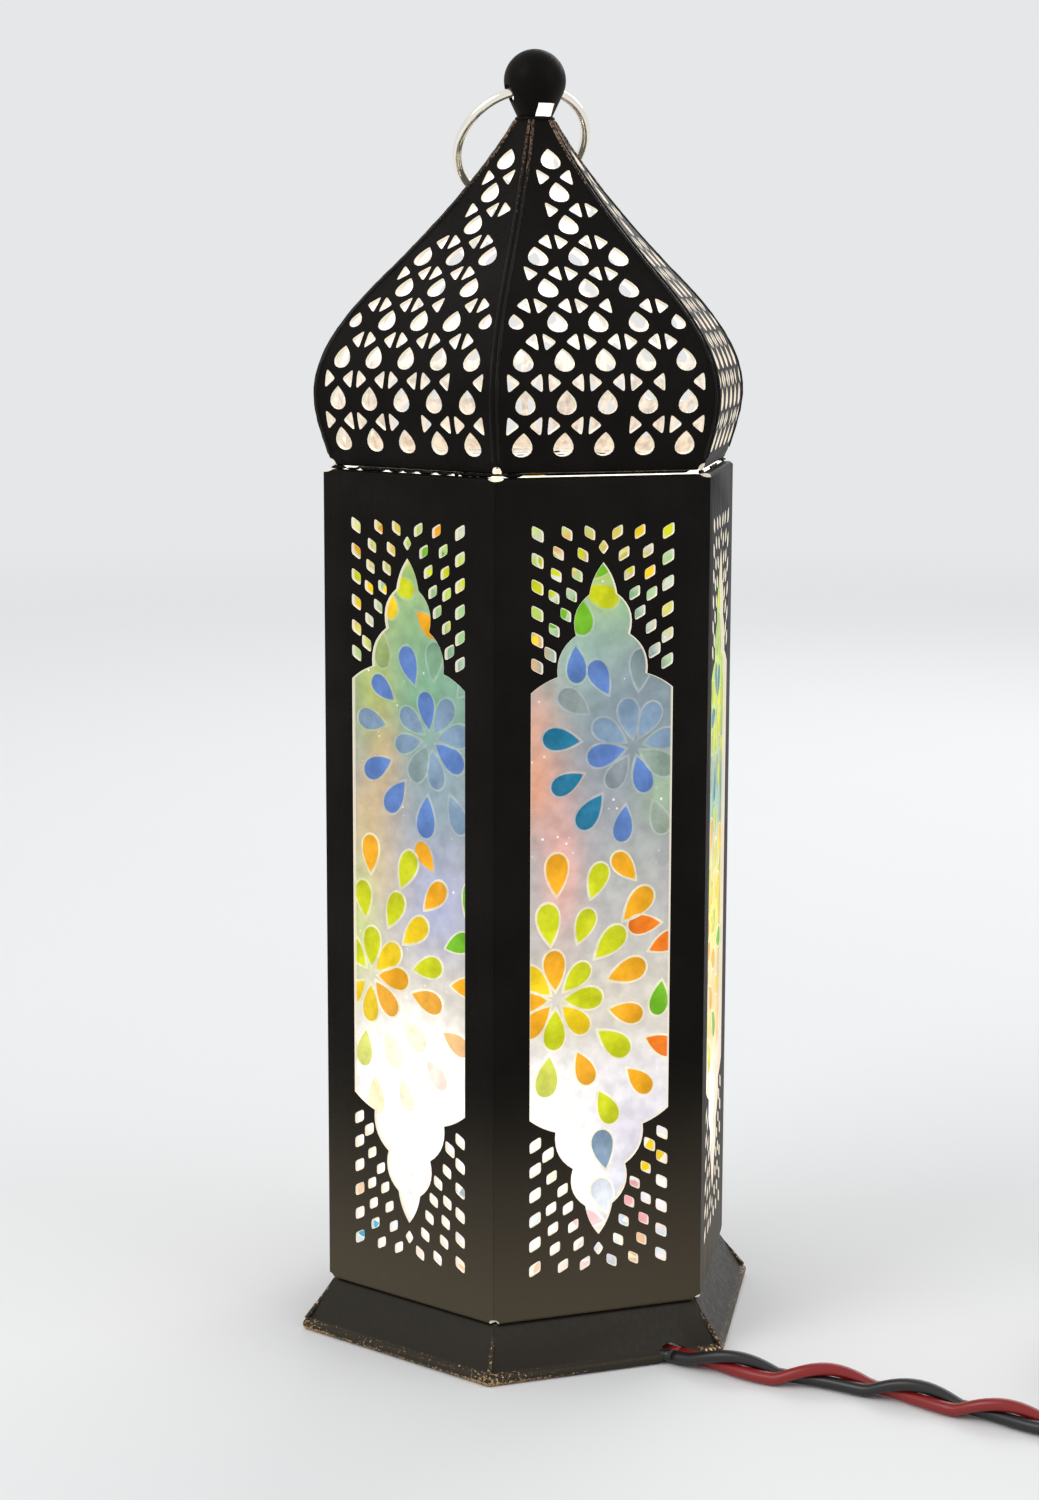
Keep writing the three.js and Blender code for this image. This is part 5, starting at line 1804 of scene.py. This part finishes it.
def bulbSection():
    low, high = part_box("bulb_glass")
    capRadius, aboveRadius, above = bulb["cap"]
    neckRadius, neckDrop = bulb["neck"]
    radius = high.x
    middle = high.z - radius
    points = [(0, low.z), (capRadius, low.z), (aboveRadius, low.z + above), (neckRadius, middle - neckDrop)]
    for k in range(-2, 13):
        a = math.pi / 2 * k / 12
        points.append((0 if k == 12 else radius * math.cos(a), middle + radius * math.sin(a)))
    return points


def makeLamp():
    piece = turnedPiece("opal_bulb", bulbSection(), 48)
    smoothByAngle(piece, 50)
    dress(piece, "lantern_body", "bulb_glass", opalBulb)
    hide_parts("bulb_glass")


makeLamp()
print("lamp fitted")


# Plug and tie

plug = {
    "length": 32 * mm,
    "width": 27 * mm,
    "thick": 13.4 * mm,
    "shoulder": 11 * mm,
    "edge": 2.4 * mm,
    "sleeve": 20 * mm,
    "sleeveRadius": 5.2 * mm,
    "sleeveTip": 3.9 * mm,
    "pin": 2.0 * mm,
    "pinReach": 19 * mm,
    "pinSeat": 6 * mm,
    "pinSpacing": 18.6 * mm,
    "pinStep": 0.92,                    # radius of the front half, as a share of the back half's
    "ribs": (5, 2.5 * mm, 3.4 * mm, 0.55 * mm),         # on the sleeve: count, first, pitch, depth of grooves
    "grip": (4, 13 * mm, 4.2 * mm, 1.1 * mm),           # grooves on each face: count, first, pitch, radius
}
plugPlace = axesAt(tailAlong, upwards.cross(tailAlong), upwards, sleeveStart)


# The plug lies along +X, from the end of the cord to the tips of the pins, until it is put in its place.
def makePlugBody():
    half, neck, depth = plug["width"] / 2, plug["sleeveRadius"] + 1.5 * mm, plug["thick"] / 2
    begin, shoulder = plug["sleeve"], plug["shoulder"]
    side = []
    for k in range(9):
        t = k / 8
        along = quadratic(begin, begin + shoulder / 2, begin + shoulder, t)
        side.append((along, quadratic(neck, half, half, t)))
    side.append((begin + plug["length"], half))
    outline = [(x, -y) for x, y in side] + [(x, y) for x, y in side[::-1]]
    body = outlinePiece("two_pin_plug", [(x, y, -depth) for x, y in outline])
    extrudeBy(body, (0, 0, 2 * depth))
    bevelEdges(body, lambda a, b: abs(a.z - b.z) < tiny, plug["edge"], 5)
    return body


def makePlugSleeve():
    tip, inner = plug["sleeveTip"], plug["sleeveTip"] - 1.2 * mm
    count, first, pitch, depth = plug["ribs"]
    section = [(inner, 0), (tip, 0)]
    for k in range(count):
        at = first + k * pitch
        outer = tip + (plug["sleeveRadius"] - tip) * at / plug["sleeve"]
        section += [(outer, at), (outer - depth, at + 0.5 * mm)]
        section += [(outer - depth, at + 1.4 * mm), (outer, at + 1.9 * mm)]
    base = plug["sleeve"] + 2 * mm
    section += [(plug["sleeveRadius"], base), (0, base), (0, 1 * mm), (inner, 1 * mm)]
    sleeve = turnedPiece("plug_sleeve", section, 32)
    sleeve.data.transform(Matrix.Rotation(math.pi / 2, 4, "Y"))
    return sleeve


def cutGripGrooves(body):
    count, first, pitch, radius = plug["grip"]
    for face in (-1, 1):
        for k in range(count):
            clearSelection()
            place = (plug["sleeve"] + first + k * pitch, 0, face * (plug["thick"] + radius) / 2)
            bpy.ops.mesh.primitive_cylinder_add(vertices=20, radius=radius, depth=15 * mm,
                                                location=place, rotation=(math.pi / 2, 0, 0))
            cutWith(body, settledPiece())


def makePin(number, side):
    reach, seat = plug["pinReach"], plug["pinSeat"]
    back, front = plug["pin"], plug["pin"] * plug["pinStep"]
    section = [(0, -seat), (back, -seat), (back, reach / 2), (front, reach / 2 + 0.3 * mm)]
    for k in range(7):
        a = math.pi / 2 * k / 6
        section.append((0 if k == 6 else front * math.cos(a), reach - front + front * math.sin(a)))
    pin = turnedPiece(f"round_pin_{number}", section, 28)
    root = Vector((plug["sleeve"] + plug["length"], side * plug["pinSpacing"] / 2, 0))
    pin.data.transform(Matrix.Rotation(math.pi / 2, 4, "Y"))
    pin.data.transform(plugPlace @ Matrix.Translation(root))
    smoothByAngle(pin, 40)
    dress(pin, "lantern_body", "brass", pinBrass)
    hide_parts(f"plug_pin_{number}")
    return pin


def makePlug():
    body = makePlugBody()
    combine(body, makePlugSleeve(), "UNION")
    cutGripGrooves(body)
    body.data.transform(plugPlace)
    smoothByAngle(body, 35)
    dress(body, "lantern_body", "plug_plastic", plugBlack)
    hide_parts("plug_body")
    return [body, makePin(1, -1), makePin(2, 1)]


tie = {
    "turn": math.radians(100),
    "width": 5 * mm,
    "thick": 0.9 * mm,
    "slack": 0.5 * mm,                  # beside the cord
    "slackUp": 0.3 * mm,                # above and below it
    "corner": 2.4 * mm,
    "edge": 0.2 * mm,
}


# A band round all the turns of the coil on one side
def makeTie():
    inner = coil["middle"] - coil["pitch"] * coil["turns"] / 4
    passAt = lambda turns: inner + coil["pitch"] * abs(turns - coil["turns"] / 2)
    first = ((tie["turn"] - coil["start"]) / (2 * math.pi)) % 1
    radii = [passAt(first + k) for k in range(int(coil["turns"] - first) + 1) if first + k < coil["turns"]]
    beside, above = cord["pair"] / 2 + tie["slack"], cord["pair"] / 2 + tie["slackUp"]
    corner = tie["corner"]
    near, far = min(radii) - beside + corner, max(radii) + beside - corner
    low, high = coil["floor"] - above + corner, coil["floor"] + coil["pitch"] + above - corner
    points = []
    for quarter, (x, z) in enumerate(((far, high), (near, high), (near, low), (far, low))):
        for k in range(7):
            a = math.pi / 2 * (quarter + k / 6)
            points.append((x + corner * math.cos(a), -tie["width"] / 2, z + corner * math.sin(a)))
    band = outlinePiece("cord_tie_band", points, filled=False)
    extrudeBy(band, (0, tie["width"], 0))
    wall = band.modifiers.new("wall", "SOLIDIFY")
    wall.thickness = tie["thick"]
    wall.offset = 1
    soften = band.modifiers.new("soften", "BEVEL")
    soften.width = tie["edge"]
    soften.segments = 2
    applyModifiers(band)
    band.data.transform(Matrix.Rotation(tie["turn"], 4, "Z"))
    band.data.transform(Matrix.Translation(coil["centre"]))
    smoothByAngle(band, 40)
    dress(band, "lantern_body", "plug_plastic", plugBlack)
    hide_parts("cord_tie")
    return band


plugPieces = makePlug()
tieBand = makeTie()
print("plug and tie made")


# Metal and plastic parts that keep their solids
keptNodes = {
    # The apex collar glows white with the lamp's light painted on
    "apex_collar": litTin, "lamp_bridge": plainSteel,
    "bridge_screw_1": plainSteel, "bridge_screw_2": plainSteel,
    "bridge_nut_1": plainSteel, "bridge_nut_2": plainSteel,
    "holder_nipple": plainSteel, "holder_nut": plainSteel,
    "lamp_holder": holderBlack, "holder_ring": holderBlack,
    "holder_contact": pinBrass, "bulb_cap": pinBrass,
}
for name, material in keptNodes.items():
    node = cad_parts[name]
    node.data.materials.clear()
    addMaterials(node, material)
print("solids dressed")


# Floor and light

studio = {
    "floor": (0.86, 0.86, 0.85),
    "floorRadius": 14,
    "ambient": 0.72,
    "sky": (0.94, 0.96, 1.0),
    "backdrop": (0.79, 0.80, 0.81),     # the pale background that the camera sees
    "fadeFrom": 0.5,                    # metres from the lantern where the floor begins to fade into it
    "fadeTo": 2.2,
}


# Far from the lantern the floor shows the backdrop's colour, so that no horizon shows
def makeFloor():
    clearSelection()
    bpy.ops.mesh.primitive_circle_add(vertices=96, radius=studio["floorRadius"], fill_type="NGON")
    floor = bpy.context.object
    floor.name = "studio_floor"
    material, tree, shader = newMaterial("palePaper")
    shade = tuple(c * 0.97 for c in studio["floor"])
    colour = addMix(tree, addSurface(tree, 3, 60)["Patches"], shade, studio["floor"])
    tree.links.new(colour, shader.inputs["Base Color"])
    setShader(shader, Roughness=0.75, Specular_IOR_Level=0.15)
    far = tree.nodes.new("ShaderNodeEmission")
    far.inputs["Color"].default_value = (*studio["backdrop"], 1)
    reach = tree.nodes.new("ShaderNodeVectorMath")
    reach.operation = "LENGTH"
    tree.links.new(addPlace(tree), reach.inputs[0])
    fade = addRange(tree, reach.outputs["Value"], studio["fadeFrom"], studio["fadeTo"], smooth=True)
    share = addMath(tree, "MULTIPLY", fade, addSeenRays(tree))
    showMixed(tree, "Material Output", share, shader.outputs["BSDF"], far.outputs["Emission"])
    floor.data.materials.append(material)


# Rays that show the pale background: the camera's, and those reflected or let through by the lantern
def addSeenRays(tree):
    path = tree.nodes.new("ShaderNodeLightPath").outputs
    seen = path["Is Camera Ray"]
    for name in ("Is Glossy Ray", "Is Transmission Ray"):
        seen = addMath(tree, "MAXIMUM", seen, path[name])
    return seen


def showMixed(tree, output, *sources):
    both = tree.nodes.new("ShaderNodeMixShader")
    for source, socket in zip(sources, both.inputs):
        tree.links.new(source, socket)
    tree.links.new(both.outputs["Shader"], tree.nodes[output].inputs["Surface"])


def makeWorld():
    world = bpy.data.worlds.new("softStudio")
    bpy.context.scene.world = world
    world.use_nodes = True
    tree = world.node_tree
    light, shown = tree.nodes["Background"], tree.nodes.new("ShaderNodeBackground")
    for node, colour, strength in ((light, studio["sky"], studio["ambient"]), (shown, studio["backdrop"], 1)):
        node.inputs["Color"].default_value = (*colour, 1)
        node.inputs["Strength"].default_value = strength
    backgrounds = light.outputs["Background"], shown.outputs["Background"]
    showMixed(tree, "World Output", addSeenRays(tree), *backgrounds)


def addSoftbox(name, place, target, size, energy):
    bpy.ops.object.light_add(type="AREA", location=place)
    lamp = bpy.context.object
    lamp.name = name
    lamp.data.shape = "RECTANGLE"
    lamp.data.size, lamp.data.size_y = size
    lamp.data.energy = energy
    lamp.rotation_euler = (Vector(target) - Vector(place)).to_track_quat("-Z", "Y").to_euler()


bpy.context.scene.view_settings.view_transform = "Standard"
makeFloor()
makeWorld()
addSoftbox("key_box", (-0.9, -0.9, 1.1), (0, 0, 0.14), (0.9, 0.9), 8)
addSoftbox("fill_box", (1.2, -0.5, 0.8), (0, 0, 0.14), (0.8, 1.0), 3.2)
addSoftbox("rim_box", (0.3, 1.2, 0.9), (0, 0, 0.16), (1.0, 0.6), 5)
print("studio lit")
